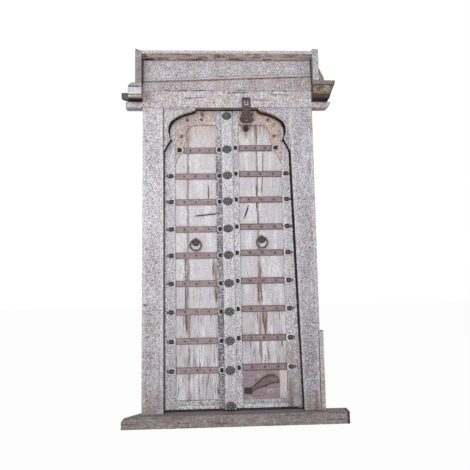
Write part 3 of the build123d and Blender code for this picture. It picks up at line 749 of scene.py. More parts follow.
def lozenge_carving(u, place, half, pitch, petals):
    """A chain of framed lozenges, each with a flower, and leaves in the spaces between them."""
    reach = np.abs(u) / half[0] + np.abs(place) / half[1]
    ridge = 0.6 * (1 - smooth(np.abs(reach - 1), 0.06, 0.20))
    bloom = flower(u, place, 0.60 * min(half), petals)
    between = pitch / 2 - np.abs(place)
    leaf_u = np.abs(u) - 1.22 * half[0]
    leaf = hump(np.hypot(leaf_u / (0.62 * half[0]), between / (0.52 * half[1])))
    vein = bell(between, 0.07 * half[1]) * 0.7
    dot = hump(np.hypot(u, between) / (0.26 * half[0]))
    return np.maximum.reduce([ridge, bloom, 0.9 * leaf * (1 - vein), dot])


def stipple(x, z, seed):
    """Small punched hollows, from 0 on the ground to 1 in a hollow."""
    return smooth(fractal(x, z, 7.0, 7.0, seed, 2), 0.46, 0.68)


def twist(u, z, pitch, lean):
    """Height from 0 to 1 of a twisted cord carved along an edge."""
    return np.abs(np.sin(math.pi * (z / pitch + u / lean)))


def diaper(u, v, pitch, seed):
    """An all-over pattern of flowers in staggered rows with drilled hollows between them."""
    height = 0.0
    for shift in (0.0, 0.5):
        a = repeat(u, pitch, shift * pitch)
        b = repeat(v, pitch, shift * pitch)
        height = np.maximum(height, flower(a, b, 0.40 * pitch, 4))
    return np.maximum(height, 0.55 * noise(u, v, pitch * 0.4, pitch * 0.4, seed))


def worn(x, z, seed, least=0.3):
    """How much of the carving is left, from least to 1."""
    return least + (1 - least) * patches(x, z, 110, 260, seed, 0.34, 0.58)


def weather(x, z, along, seed):
    """Depth of raised grain, hollows and small pits on an old face."""
    u, v = (x, z) if along == "z" else (z, x)
    fine = fractal(u, v, 4.5, 110, seed)
    broad = fractal(u, v, 55, 420, seed + 5)
    pits = patches(x, z, 11, 16, seed + 9, 0.60, 0.78)
    return 0.8 * fine + 1.1 * broad + 1.4 * pits


def ragged(x, z, edge, seed, least=1.6, most=5.0):
    """Rounded edges that are worn more in some places than in others."""
    radius = least + (most - least) * patches(x, z, 30, 46, seed, 0.45, 0.78)
    return arris(edge, radius)


def cracks(x, z, paths, width):
    """1 along the paths, falling to 0 at about that width, with a wandering line."""
    wander_x = x + 9.0 * (fractal(x, z, 50, 32, 77) - 0.5)
    wander_z = z + 9.0 * (fractal(x, z, 32, 50, 78) - 0.5)
    found = 0.0
    for path in paths:
        ends = [np.hypot(wander_x - px, wander_z - pz) for px, pz in (path[0], path[-1])]
        taper = 0.25 + 0.75 * smooth(np.minimum(*ends), 0, 55)
        taper = taper * (0.6 + 0.8 * fractal(x, z, 14, 24, 79))
        found = np.maximum(found, taper * bell(path_distance(wander_x, wander_z, path), width * taper))
    return np.minimum(found, 1.0)


def gash(x, z, path):
    """1 along a deep scratch that tapers to its ends."""
    ends = np.minimum(np.hypot(x - path[0][0], z - path[0][1]), np.hypot(x - path[-1][0], z - path[-1][1]))
    width = 2.5 + 3.5 * smooth(ends, 0, 40) * (0.6 + 0.8 * fractal(x, z, 16, 16, 80))
    return bell(path_distance(x, z, path), width)


def paint_carved(shape, seed, dirt=0.35, warm=0.2, wall_shade_and_dirt=0.5, brown=0.0, pale=0.7, shade=0.0):
    """Dirt in the hollows, painted shade on the walls, bleached high places and a cloud of warmer tone;
    numbers may be arrays.
    """
    x, z = shape.x, shape.z
    speck = stipple(x, z, seed)
    cloud = fractal(x, z, 120, 300, seed + 3)
    hollow = smooth(shape.depth, 1.2, 4.6)
    grime_and_shade = dirt * (0.10 * hollow + 0.50 * hollow * speck + 0.28 * speck) * (0.5 + cloud)
    # The walls are darkened as painted shade, with some dirt
    grime_and_shade = np.maximum(grime_and_shade, wall_shade_and_dirt * smooth(shape.wall, 0.0, 0.12))
    high = (1 - hollow) * patches(x, z, 16, 26, seed + 4, 0.40, 0.66) * shape.face
    grey = shade * (0.55 + 0.9 * fractal(x, z, 60, 60, seed + 5))
    return shape.mark(grime_and_shade=grime_and_shade, bleach=pale * high * (1 - np.clip(shade, 0, 1)), stain=brown, shade=grey,
                      tone=1.6 * warm * smooth(cloud, 0.3, 0.7))


def foot_shade(z):
    """How much greyer the wood is towards the ground, from 0 to 1."""
    return smooth(-z, -1300, -60)


# Posts

def right_jamb(z):
    """The right post's inner edge, which leans into the doorway as it rises."""
    corners = front_points("right_post", POST_LOW[1])
    foot = corners[np.abs(corners[:, 1] - SILL_TOP) < 0.1][:, 0].min()
    head = corners[np.abs(corners[:, 1] - LINTEL_Z) < 0.1][:, 0].min()
    return foot + (head - foot) * (z - SILL_TOP) / (LINTEL_Z - SILL_TOP)


def post_depth(share, x, z, width, edge, seed):
    """A lozenge chain between two grooves, a twisted cord outside and a plain margin inside."""
    u = (share - 0.5) * width
    place = repeat(z, POST_PITCH, SILL_TOP)
    soft = 0.02
    chain = POST_CUT * (1 - lozenge_carving(u, place, POST_LOZENGE, POST_PITCH, 6))
    depth = window(share, *POST_CHAIN, soft) * (chain + stipple(x, z, seed + 6))
    depth = depth + window(share, *POST_CORD, soft) * 0.7 * POST_CUT * (1 - twist(u, z, *TWIST["cord"]))
    depth = depth + window(share, *POST_MARGIN, soft) * 0.5 * POST_CUT * (1 - twist(u, z, *TWIST["margin"]))
    depth = depth * worn(x, z, seed)
    for groove in POST_GROOVES:
        depth = depth + GROOVE_CUT * bell((share - groove) * width, GROOVE_WIDTH)
    return depth + weather(x, z, "z", seed) + ragged(x, z, edge, seed + 2)


def tenons(node, centre):
    """The stub tenons of a post, hidden in the sill and the lintel."""
    low, high = node_box(node)
    middle = np.array([centre, (low[1] + high[1]) / 2])
    ends = ((low[2], SILL_TOP), (LINTEL_Z, high[2]))
    return [block((*(middle - TENON_HALF), z0), (*(middle + TENON_HALF), z1)) for z0, z1 in ends]


def foot_stain(z):
    """How brown a post is towards its foot."""
    return 0.25 * smooth(-z, -360, -80)


def make_left_post():
    low, high = POST_LOW, POST_HIGH
    x, z, edge = square_grid(lines(low[0], high[0], CARVED_STEP), POST_LINES)
    share = (x - low[0]) / (high[0] - low[0])
    shape = plate(x, z, low[1], high[1], post_depth(share, x, z, high[0] - low[0], edge, 11), edge)
    px, pz = shape.x, shape.z
    # The inner wall, in the doorway's reveal, is darkened further as painted shade, most towards the top
    inner = 0.3 + (0.25 + 0.45 * smooth(pz, 1300, 1700)) * (px > high[0] - 1)
    paint_carved(shape, 12, 0.42 + 0.25 * foot_shade(pz), wall_shade_and_dirt=inner, warm=0.18, brown=foot_stain(pz),
                 shade=0.04 + 0.46 * foot_shade(pz))
    joint = 0.85 * bell(px - high[0], 3.0) * smooth(pz, LINTEL_Z - 330, LINTEL_Z - 260)
    nail = 0.7 * bell(np.hypot((px - POST_NAIL[0]) / 18, (pz - POST_NAIL[1]) / 7), 1.0) * shape.face
    shape.darken(joint, nail)
    centre = (low[0] + high[0]) / 2
    make_teak("left_post_carved", [shape, *tenons("left_post", centre)], TEAK_UP, "frame", "left_post")


def make_right_post():
    low, high = node_box("right_post")
    strip_low, strip_high = node_box("post_repair_strip")
    z_lines = np.sort(np.append(POST_LINES, strip_high[2] + STEP_LINES))
    outer = np.where(z_lines < strip_high[2], strip_low[0], high[0])
    inner = right_jamb(z_lines)
    across = shares(SPAN["post"])
    x, z, edge = upright_grid(z_lines, inner, outer, across)
    share = np.broadcast_to(1 - across, x.shape)
    shape = plate(x, z, low[1], high[1], post_depth(share, x, z, (outer - inner)[:, None], edge, 21), edge)
    px, pz = shape.x, shape.z
    from_jamb = px - right_jamb(pz)
    centre = (right_jamb(SILL_TOP) + high[0]) / 2
    rot = 0.3 * patches(px, pz, 40, 160, 5, 0.55, 0.7) * (px > POST_ROT)
    # The inner wall in the reveal is darkened as painted shade
    paint_carved(shape, 22, 0.5 + 0.2 * foot_shade(pz), wall_shade_and_dirt=0.3 + 0.7 * (from_jamb < 1), warm=0.08,
                 brown=foot_stain(pz) + rot, shade=0.30 + 0.26 * foot_shade(pz))
    # A painted shadow line runs along the post's inner edge
    shape.darken(0.9 * bell(from_jamb, 2.0) * (pz < LINTEL_Z - 250))
    make_teak("right_post_carved", [shape, *tenons("right_post", centre)], TEAK_UP, "frame", "right_post")


def make_repair_strip():
    low, high = node_box("post_repair_strip")
    x, z, edge = grid(low, high, CARVED_STEP, CARVED_STEP)
    share = (x - low[0]) / (high[0] - low[0])
    cord = 3.0 * (1 - twist(x, z, *TWIST["strip"])) * window(share, 0.2, 0.8, 0.1)
    depth = weather(x, z, "z", 31) + ragged(x, z, edge, 32, 2.0, 7.0) + cord * worn(x, z, 33, 0.1)
    shape = plate(x, z, low[1], high[1], depth, edge)
    paint_carved(shape, 34, 0.7, warm=0.5, wall_shade_and_dirt=0.6, brown=0.2, shade=0.35)
    shape.darken(0.95 * bell(shape.x - low[0], 4.0))
    make_teak("repair_strip_worn", [shape], TEAK_UP, "frame", "post_repair_strip")


# Lintel, spandrels, frieze and cornice

def make_lintel():
    low, high = LINTEL_LOW, LINTEL_HIGH
    frieze_low, frieze_high = node_box("lower_frieze_board")
    horn_top = node_box("left_corbel")[0][2]
    ends = np.concatenate([frieze_low[0] + STEP_LINES, frieze_high[0] + STEP_LINES])
    x_lines = np.sort(np.concatenate([lines(low[0], high[0], LINTEL_STEP), ends]))
    top = np.where((x_lines > frieze_low[0]) & (x_lines < frieze_high[0]), high[2], horn_top)
    bottom = low[2] + np.clip(x_lines - (high[0] - HORN_CORNER), 0, HORN_CORNER)
    x, z, edge = level_grid(x_lines, bottom, top, shares(SPAN["lintel"], LINTEL_RISE_STEP))
    depth = weather(x, z, "x", 42) + 1.8 * stipple(x, z, 41) + 3.0 * cracks(x, z, LINTEL_SPLITS, 2.2)
    depth = depth + ragged(x, z, edge, 43)
    shape = plate(x, z, low[1], high[1], depth, edge, DEEP_LEVELS)
    px, pz = shape.x, shape.z
    under = (shape.wall > 0) * (pz < low[2] + 1)
    arch = under * (np.abs(px) < DOORWAY_HALF)
    # Over the doorway the back of the underside is darkened as painted shade
    paint_carved(shape, 44, 0.6, warm=0.55, wall_shade_and_dirt=0.2 + 0.75 * (shape.wall > 0.7) * arch,
                 brown=np.maximum(0.6 * arch, 0.25 * under), shade=0.2)
    line = cracks(px, pz, LINTEL_SPLITS, 2.8) * shape.face
    blotch = bell(np.hypot((px - LINTEL_BLOTCH[0]) / 34, (pz - LINTEL_BLOTCH[1]) / 40), 1.0)
    joint = bell(pz - high[2], 5.5) * patches(px, pz, 90, 30, 45, 0.48, 0.68) * shape.face
    shape.darken(0.7 * line, 0.45 * blotch, 0.5 * joint)
    make_teak("lintel_worn", [shape], TEAK_LEVEL, "frame", "lintel")


def make_spandrel(side):
    """A corner board under the lintel, cut to the arch."""
    node = f"{side}_spandrel"
    sign = SIDES[side]
    low, high = node_box(node)
    points = front_points(node, low[1])
    points[:, 0] *= sign
    arch = points[np.lexsort((points[:, 0], points[:, 1]))]
    arch = arch[np.concatenate([[True], np.diff(arch[:, 1]) > 0.05])]
    crown = np.linspace(high[2] - ARCH_SHALLOW_DROP, high[2] - 4.0, 60)
    z_lines = np.unique(np.concatenate([lines(low[2], high[2], CARVED_STEP), crown]))
    arch_x = np.interp(z_lines, arch[:, 1], arch[:, 0])
    jamb = right_jamb(z_lines) if sign > 0 else np.full(len(z_lines), -low[0])
    x, z, edge = upright_grid(z_lines, sign * jamb, sign * arch_x, shares(SPAN["spandrel"]))
    carving = 3.0 * (1 - diaper(x, z, DIAPER_PITCH["spandrel"], 51)) + stipple(x, z, 56)
    carving = carving * smooth(edge, 7, 12) * worn(x, z, 52, 0.35)
    rim = 2.6 * bell(edge - RIM_INSET, 2.0)
    depth = carving + rim + weather(x, z, "z", 53) + ragged(x, z, edge, 54, 2.5, 5.0)
    shape = plate(x, z, low[1], high[1], depth, edge, DEEP_LEVELS)
    px, pz = shape.x, shape.z
    from_jamb = np.interp(pz, z_lines, jamb) - sign * px
    on_arch = (shape.wall > 0) * (from_jamb > 1) * (pz < high[2] - 1)
    run = np.abs(np.gradient(arch_x, z_lines))
    shallow = smooth(np.interp(pz, z_lines, run), 0.6, 2.0)
    # The arch's underside is painted black from a depth on as the shadow of the gap before the leaves,
    # almost from the front where the arch is steep
    first_dark = 0.02 + (0.28 if sign < 0 else 0.57) * shallow
    dark = shape.wall > first_dark
    brown = (0.30 + 0.55 * (sign > 0) * shallow) * on_arch
    paint_carved(shape, 55, 0.6, warm=0.4, wall_shade_and_dirt=0.15 + 0.85 * dark, brown=brown,
                 shade=0.18 + 0.12 * (sign > 0))
    jamb_line = 0.9 * bell(from_jamb, 3.0) * (sign < 0)
    rim_line = 0.35 * bell(shape.edge - RIM_INSET, 2.0) * shape.face
    shape.darken(jamb_line, rim_line)
    make_teak(f"{side}_spandrel_carved", [shape], TEAK_UP, "frame", node)


def arch_shadow(x, z):
    """1 in the painted shadow line that the arch casts on the leaves, falling to 0 within a few millimetres
    of it.
    """
    found = 0.0
    for side in SIDES:
        node = f"{side}_spandrel"
        low = node_box(node)[0]
        points = front_points(node, low[1])
        jamb = right_jamb(points[:, 1]) if side == "right" else low[0]
        arch = points[np.abs(points[:, 0] - jamb) > 0.5]
        arch = arch[np.argsort(arch[:, 1])]
        found = np.maximum(found, bell(path_distance(x, z, arch), ARCH_SHADOW_WIDTH[side]))
    return found


def above_shoulder(z):
    """0 below the arch's shoulders and 1 where it runs nearly level above them."""
    return smooth(z, LINTEL_Z - ARCH_SHALLOW_DROP, LINTEL_Z - 0.6 * ARCH_SHALLOW_DROP)


def frieze_grid(node, step):
    """Grid over a frieze board, whose joint with the other runs out of level, and its edges' heights."""
    low, high = node_box(node)
    corners = front_points(node, low[1])
    x_lines = lines(low[0], high[0], step)
    ends = []
    for x_end in (low[0], high[0]):
        heights = corners[np.abs(corners[:, 0] - x_end) < 0.1][:, 1]
        ends.append((heights.min(), heights.max()))
    bottom = np.interp(x_lines, [low[0], high[0]], [ends[0][0], ends[1][0]])
    top = np.interp(x_lines, [low[0], high[0]], [ends[0][1], ends[1][1]])
    return *level_grid(x_lines, bottom, top, shares(high[2] - low[2], step)), bottom, top


def make_lower_frieze():
    node = "lower_frieze_board"
    low, high = node_box(node)
    x, z, edge, bottom, top = frieze_grid(node, CARVED_STEP)
    from_joint = top - z
    rise = (z - bottom) / (top - bottom)
    petal = np.abs(np.sin(math.pi * x / FRIEZE_PETAL)) * bell(rise - 0.45, 0.5)
    field = 3.2 * (1 - np.maximum(petal, diaper(x, z, DIAPER_PITCH["lower"], 61))) + stipple(x, z, 67)
    field = field * smooth(z - bottom, 8, 13) * smooth(from_joint, 17, 22)
    groove = GROOVE_CUT * bell(from_joint - FRIEZE_GROOVE_DROP, GROOVE_WIDTH)
    depth = field * worn(x, z, 62, 0.30) + groove + weather(x, z, "x", 63) + ragged(x, z, edge, 64)
    shape = plate(x, z, low[1], high[1], depth, edge)
    px, pz = shape.x, shape.z
    joint = pz - np.interp(px, x[0], top)
    foot = bell(pz - low[2], 7.0) * patches(px, pz, 110, 40, 68, 0.50, 0.70) * shape.face
    rust = bell(joint + 2, 6.0) * (0.2 + 1.1 * fractal(px, pz, 70, 20, 65))
    paint_carved(shape, 66, 0.7, warm=0.45, wall_shade_and_dirt=0.6, brown=rust, shade=0.46)
    dark_joint = 0.75 * bell(joint, 3.5) * patches(px, pz, 60, 30, 69, 0.35, 0.6)
    shape.darken(0.6 * foot, dark_joint)
    make_teak("lower_frieze_carved", [shape], TEAK_LEVEL, "frame", node)


def make_upper_frieze():
    node = "upper_frieze_board"
    low, high = node_box(node)
    x, z, edge, bottom, top = frieze_grid(node, CARVED_STEP)
    from_joint = z - bottom
    sway = 0.7 * np.sin(2 * math.pi * from_joint / (top - bottom))
    scroll = 0.8 * np.abs(np.sin(math.pi * (x / FRIEZE_SCROLL + sway)))
    field = 2.2 * (1 - np.maximum(scroll, diaper(x, z, DIAPER_PITCH["upper"], 71))) + stipple(x, z, 77)
    field = field * smooth(from_joint, 27, 34) * smooth(top - z, 10, 16)
    groove = GROOVE_CUT * bell(from_joint - FRIEZE_GROOVE_RISE, GROOVE_WIDTH)
    depth = field * worn(x, z, 72, 0.15) + groove + weather(x, z, "x", 73) + ragged(x, z, edge, 74)
    shape = plate(x, z, low[1], high[1], depth, edge)
    px, pz = shape.x, shape.z
    joint = pz - np.interp(px, x[0], bottom)
    rust = 0.9 * bell(joint, 5.0) * (0.3 + 0.9 * fractal(px, pz, 90, 20, 75))
    rust = rust + 0.6 * bell(pz - high[2], 7.0)
    paint_carved(shape, 76, 0.75, warm=0.22, wall_shade_and_dirt=0.6, brown=rust, pale=0.5, shade=0.30)
    dark_joint = 0.8 * bell(joint, 3.5) * patches(px, pz, 60, 30, 78, 0.35, 0.6)
    nail = bell(np.hypot(px - FRIEZE_NAIL[0], pz - FRIEZE_NAIL[1]), 6.0)
    shape.darken(dark_joint, 0.8 * nail)
    make_teak("upper_frieze_carved", [shape], TEAK_LEVEL, "frame", node)


def make_cornice_top():
    node = "cornice_top_board"
    low, high = node_box(node)
    front_low = front_points(node, low[1])[:, 1].min()
    x, z, edge = square_grid(lines(low[0], high[0], PLAIN_STEP), lines(front_low, high[2], CORNICE_STEP))
    depth = weather(x, z, "x", 81) + ragged(x, z, edge, 82, 2.0, 6.0)
    shape = plate(x, z, low[1], high[1], depth, edge, CORNICE_LEVELS)
    px, py, pz = shape.points.T
    under = (shape.wall > 0) * (pz < front_low + 1)
    frieze_front = node_box("upper_frieze_board")[0][1]
    slope = np.interp(py, [low[1], frieze_front], [front_low, low[2]])
    shape.points[:, 2] = np.where(under, np.minimum(slope, pz), pz)
    streak = fractal(px, py, 120, 12, 83)
    # On the underside: streaks of dirt, and a painted shadow line at its back, where it meets the frieze
    dark = 0.5 * patches(px, py, 160, 9, 85, 0.60, 0.72) + 0.3 * bell(py - frieze_front, 5.0)
    dark = dark + 0.4 * bell(px - low[0], 150.0) * smooth(streak, 0.48, 0.62)
    paint_carved(shape, 84, 0.5, warm=0.3, wall_shade_and_dirt=0.3 * (1 - under) + dark * under,
                 brown=under * (0.02 + 0.6 * smooth(streak, 0.52, 0.62)), shade=0.3 * (1 - under))
    shape.mark(tone=np.maximum(shape.marks["tone"], 0.9 * under),
               bleach=np.where(under, 0.3 * (1 - streak), 0.2))
    make_teak("cornice_top_worn", [shape], TEAK_LEVEL, "frame", node)


def make_end_board(side):
    sign = SIDES[side]
    node = f"{side}_end_board"
    low, high = node_box(node)
    corners = front_points(node, low[1])
    inner_x = low[0] if sign > 0 else high[0]
    inner_top = corners[np.abs(corners[:, 0] - inner_x) < 0.1][:, 1].max()
    x_lines = lines(low[0], high[0], CARVED_STEP)
    top = inner_top + (high[2] - inner_top) * np.abs(x_lines - inner_x) / (high[0] - low[0])
    x, z, edge = level_grid(x_lines, low[2], top, shares(high[2] - low[2]))
    carving = 2.6 * (1 - twist(x, z, *TWIST["end_board"])) * smooth(edge, 5, 9)
    carving = carving * worn(x, z, 91 + sign, 0.05)
    depth = carving + weather(x, z, "z", 92 + sign) + ragged(x, z, edge, 93, 2.5, 6.5)
    shape = plate(x, z, low[1], high[1], depth, edge, DEEP_LEVELS)
    inside = (shape.wall > 0) * (np.abs(shape.x - inner_x) < 1)
    # The back half of the inner wall is darkened as painted shade
    paint_carved(shape, 94 + sign, 1.0, warm=0.1, wall_shade_and_dirt=0.3 + 0.6 * inside * (shape.wall > 0.4),
                 brown=0.3 * inside, shade=0.7 - 0.2 * sign)
    make_teak(f"{side}_end_board_worn", [shape], TEAK_UP, "frame", node)


def corbel_block(node, side_edge, inner, z_high, seed):
    """A corbel's block with its outer edge along side_edge(z) and hollows across it, and places on it."""
    low, high = node_box(node)
    z_lines = lines(low[2], z_high, CARVED_STEP)
    start = np.full(len(z_lines), inner)
    x, z, edge = upright_grid(z_lines, start, side_edge(z_lines), shares(SPAN["corbel"]))
    rise = (z - low[2]) / (z_high - low[2])
    depth = weather(x, z, "x", seed + 1) + ragged(x, z, edge, seed + 2, 2.5, 7.0)
    for hollow in CORBEL_HOLLOWS:
        depth = depth + 3.0 * bell(rise - hollow, 0.05)
    shape = plate(x, z, low[1], high[1], depth, edge, DEEP_LEVELS)
    rise = (shape.z - low[2]) / (z_high - low[2])
    # The underside, which both corbels darken as painted shade
    under = (shape.wall > 0) * (rise < 0.03)
    line = 0.7 * sum(bell(rise - hollow, 0.04) for hollow in CORBEL_HOLLOWS) * shape.face
    return shape, rise, under, line


def make_left_corbel():
    node = "left_corbel"
    low, high = node_box(node)
    inner = node_box("lower_frieze_board")[0][0]
    outer = inner - LEFT_CORBEL_REACH

    def side_edge(z):
        rise = np.clip(z - (high[2] - LEFT_CORBEL_TURN), 0, LEFT_CORBEL_TURN)
        return outer + LEFT_CORBEL_TURN - np.sqrt(LEFT_CORBEL_TURN ** 2 - rise ** 2)

    main, rise, under, line = corbel_block(node, side_edge, inner, high[2], 101)
    foot = 0.6 * (1 - smooth(rise, 0.04, 0.16))
    paint_carved(main, 104, 0.3, warm=0.55, wall_shade_and_dirt=0.3 + 0.7 * under, brown=foot,
                 shade=0.15 + 0.6 * smooth(rise, 0.66, 0.78))
    main.darken(line)
    x_lines = lines(low[0], outer, NOSE_STEP)
    bottom = low[2] + NOSE_LOW + NOSE_TIP_RISE * (outer - x_lines) / (outer - low[0])
    x, z, edge = level_grid(x_lines, bottom, low[2] + NOSE_HIGH, shares(SPAN["nose"], NOSE_STEP))
    depth = weather(x, z, "x", 105) + ragged(x, z, edge, 106, 4.0, 9.0)
    nose = plate(x, z, high[1] - NOSE_THICKNESS, high[1], depth, edge)
    paint_carved(nose, 107, dirt=1.0, warm=0.1, wall_shade_and_dirt=0.6, shade=0.6)
    # The nose is darkened all over: dirt, and painted shade of its place behind the block's front
    nose.darken(0.55)
    make_teak("left_corbel_worn", [main, nose], TEAK_LEVEL, "frame", node)


def make_right_corbel():
    node = "right_corbel"
    low, high = node_box(node)
    inner = node_box("lower_frieze_board")[1][0]
    block_top = low[2] + RIGHT_CORBEL_HEIGHT
    corners = front_points(node, low[1])
    outline = corners[(corners[:, 0] > inner + 100) & (corners[:, 1] <= block_top + 0.1)]
    outline = outline[np.argsort(outline[:, 1])]

    def side_edge(z):
        return np.interp(z, outline[:, 1], outline[:, 0])

    main, rise, under, line = corbel_block(node, side_edge, inner, block_top, 111)
    rim = smooth(rise, 0.72, 0.80)
    # The lower part of the block, where its moulding curves back, is darkened: brown stain and painted
    # shade
    foot = 0.7 * (1 - smooth(rise, 0.10, 0.26))
    dusk = 0.6 * patches(main.x, main.z, 46, 30, 115, 0.30, 0.75) * (1 - rim)
    paint_carved(main, 114, 0.3, warm=0.3, wall_shade_and_dirt=0.3 + 0.6 * under, brown=np.maximum(foot, dusk),
                 shade=0.9 * rim)
    main.darken(line, 0.45 * foot, 0.8 * smooth(main.x - side_edge(main.z), -8, -3))
    cap_inner = node_box("right_end_board")[1][0]
    x_lines = lines(cap_inner, cap_inner + CAP_WIDTH, CAP_STEP)
    roof = high[2] + (block_top + CAP_RIM - high[2]) * (x_lines - cap_inner) / CAP_WIDTH
    x, z, edge = level_grid(x_lines, block_top, roof, shares(SPAN["cap"], CAP_STEP))
    depth = weather(x, z, "x", 116) + ragged(x, z, edge, 117, 2.0, 6.0)
    cap = plate(x, z, low[1], high[1], depth, edge)
    paint_carved(cap, 118, dirt=0.8, warm=0.3, wall_shade_and_dirt=0.3)
    cap.mark(shade=0.6)
    make_teak("right_corbel_worn", [main, cap], CORBEL, "frame", node)


def make_sill():
    low, high = SILL_LOW, SILL_HIGH
    horn_back = front_back("sill", low[0])
    x_lines = lines(low[0], high[0], PLAIN_STEP)
    top = high[2] - SILL_WEAR_DROP * np.clip((low[0] + SILL_WEAR_RUN - x_lines) / SILL_WEAR_RUN, 0, 1)
    x, z, edge = level_grid(x_lines, low[2], top, shares(high[2] - low[2], SILL_STEP))
    streak = fractal(x, z, 260, 9, 125)
    depth = 1.4 * weather(x, z, "x", 121) + ragged(x, z, edge, 122, 3.0, 9.0)
    depth = depth + 2.4 * smooth(streak, 0.56, 0.70)
    shape = plate(x, z, low[1], horn_back, depth, edge, DEEP_LEVELS)
    px, pz = shape.x, shape.z
    streak = fractal(px, pz, 260, 9, 125)
    brown = 0.25 * fractal(px, pz, 200, 60, 124)
    paint_carved(shape, 123, 0.35, warm=0.3, wall_shade_and_dirt=0.2, brown=brown, pale=0.6)
    shape.darken(0.4 * smooth(streak, 0.58, 0.72) * shape.face, 0.85 * smooth(px, high[0] - 26, high[0] - 4))
    left, right = POST_LOW[0], -POST_LOW[0]
    shadow_back = LEAF_FRONT + SILL_SHADOW
    shadow = block((left, horn_back, low[2]), (right, shadow_back, high[2])).mark(grime_and_shade=0.9)
    back = block((left, shadow_back, low[2]), (right, high[1], high[2])).mark(grime_and_shade=0.2)
    make_object("sill_worn", [shape, shadow, back], SILL, "sill_teak", "frame", "sill")


# Leaves

def stile_place(z, rows):
    """The place within a stile's carving, which repeats evenly between the pads, and its pitch."""
    half = PAD_HEIGHT / 2
    levels = np.array(sorted(rows))
    bay = np.clip(np.searchsorted(levels, z), 1, len(levels) - 1)
    low = levels[bay - 1] + half
    pitch = (levels[bay] - half - low) / STILE_REPEATS
    return (z - low) % pitch - pitch / 2, pitch


def stile_depth(u, x, z, rows, edge, seed):
    """A chain of small lozenges along the panel's edge, about u = 0, with a plain strip outside it."""
    place, pitch = stile_place(z, rows)
    chain = STILE_CUT * (1 - lozenge_carving(u, place, STILE_LOZENGE, pitch, 4))
    strip = window(u, -STILE_BAND, STILE_BAND, 2.5)
    line = GROOVE_CUT * 0.8 * bell(np.abs(u) - STILE_LINE, 1.8)
    carving = strip * (chain + stipple(x, z, seed + 6)) * worn(x, z, seed, 0.35)
    return carving + line + weather(x, z, "z", seed) + ragged(x, z, edge, seed + 2)


def pad_shape(x_root, x_tip, z, seed):
    """A raised pad, rounded at its tip, with a rim about a sunk middle."""
    half = PAD_HEIGHT / 2
    turn = x_tip - half if x_tip > x_root else x_tip + half
    sign = 1.0 if x_tip > x_root else -1.0
    angles = np.linspace(-math.pi / 2, math.pi / 2, PAD_CORNERS)
    outline = np.stack([turn + sign * half * np.cos(angles), z + half * np.sin(angles)], -1)
    outline = np.concatenate([[[x_root, z - half]], outline, [[x_root, z + half]]])
    if sign < 0:
        outline = outline[::-1]
    centre = np.array([(x_root + turn) / 2, z])
    count = len(outline)
    index = np.arange(count)
    points, quads = [], []
    for level, (share, behind) in enumerate(PAD_STEPS):
        ring = centre + share * (outline - centre)
        points.append(np.stack([ring[:, 0], np.full(count, LEAF_FRONT + behind), ring[:, 1]], -1))
        if level:
            quads.append(band(index + level * count, index + (level - 1) * count))
    caps = [index[::-1], index + (len(PAD_STEPS) - 1) * count]
    shape = Shape(np.concatenate(points), np.concatenate(quads), caps)
    inner = np.repeat(np.arange(len(PAD_STEPS)) == len(PAD_STEPS) - 1, count)
    speck = fractal(shape.x, shape.z, 9, 9, seed)
    # The rim is painted pale as a highlight, and the sunk middle dark as painted shade with some stain
    return shape.mark(bleach=0.95 * (~inner) * (0.6 + 0.5 * speck), grime_and_shade=0.75 * inner, stain=0.5 * inner)


def make_pivot_stile(side):
    """A leaf's outer upright, with its carving, pads, round pivot edge and pins."""
    sign = SIDES[side]
    right = sign > 0
    node = f"{side}_pivot_stile"
    low, high = node_box(node)
    outer = panel_edges(side)[0]
    radius = (LEAF_BACK - LEAF_FRONT) / 2
    pivot_x = high[0] - radius if right else low[0] + radius
    pivot_y = (LEAF_FRONT + LEAF_BACK) / 2
    x, z, edge = square_grid(lines(*sorted((outer, pivot_x)), CARVED_STEP), LEAF_LINES)
    depth = stile_depth(sign * (x - outer) - OUTER_PAD / 2, x, z, ROWS[side], edge, 131 + sign)
    depth = depth * smooth(np.abs(x - pivot_x), 0, 12)
    shape = plate(x, z, LEAF_FRONT, LEAF_BACK, depth, edge)
    px, pz = shape.x, shape.z
    foot = foot_shade(pz)
    bare = 0.6 * right * smooth(-pz, -330, -200) * bell(px - outer - OUTER_PAD / 2, 16)
    paint_carved(shape, 135 + sign, 0.22 + 0.32 * foot, warm=0.12 + 0.6 * right * foot, wall_shade_and_dirt=0.6,
                 brown=bare, pale=0.9,
                 shade=0.05 * right + 0.25 * foot + 0.4 * right * smooth(-pz, -600, -150))
    # Painted shadow lines: along the jamb, along the arch below its shoulders, and along the leaf's foot
    # above the sill
    jamb = right_jamb(pz) if right else -POST_HIGH[0]
    shadow = bell(np.maximum(jamb - sign * px - JAMB_SHADOW[side], 0), 2.5)
    shadow = np.maximum(shadow, arch_shadow(px, pz) * (1 - above_shoulder(pz)))
    shape.darken(0.9 * shadow, 0.8 * bell(pz - LEAF_LOW, 4.0))
    rounds = []
    for thick, z0, z1, grime_and_shade in ((radius, LEAF_LOW, LEAF_HIGH, 0.35), (PIN_RADIUS, low[2], LEAF_LOW, 0.4),
                                 (PIN_RADIUS, LEAF_HIGH, high[2], 0.4)):
        rounds.append(lathe_z(pivot_x, pivot_y, [(thick, z0), (thick, z1)]).mark(grime_and_shade=grime_and_shade))
    pads = [pad_shape(outer + sign * OUTER_PAD, outer, row, 140) for row in ROWS[side][1:]]
    make_teak(f"{node}_carved", [shape, *rounds, *pads], TEAK_UP, f"{side}_leaf", node)


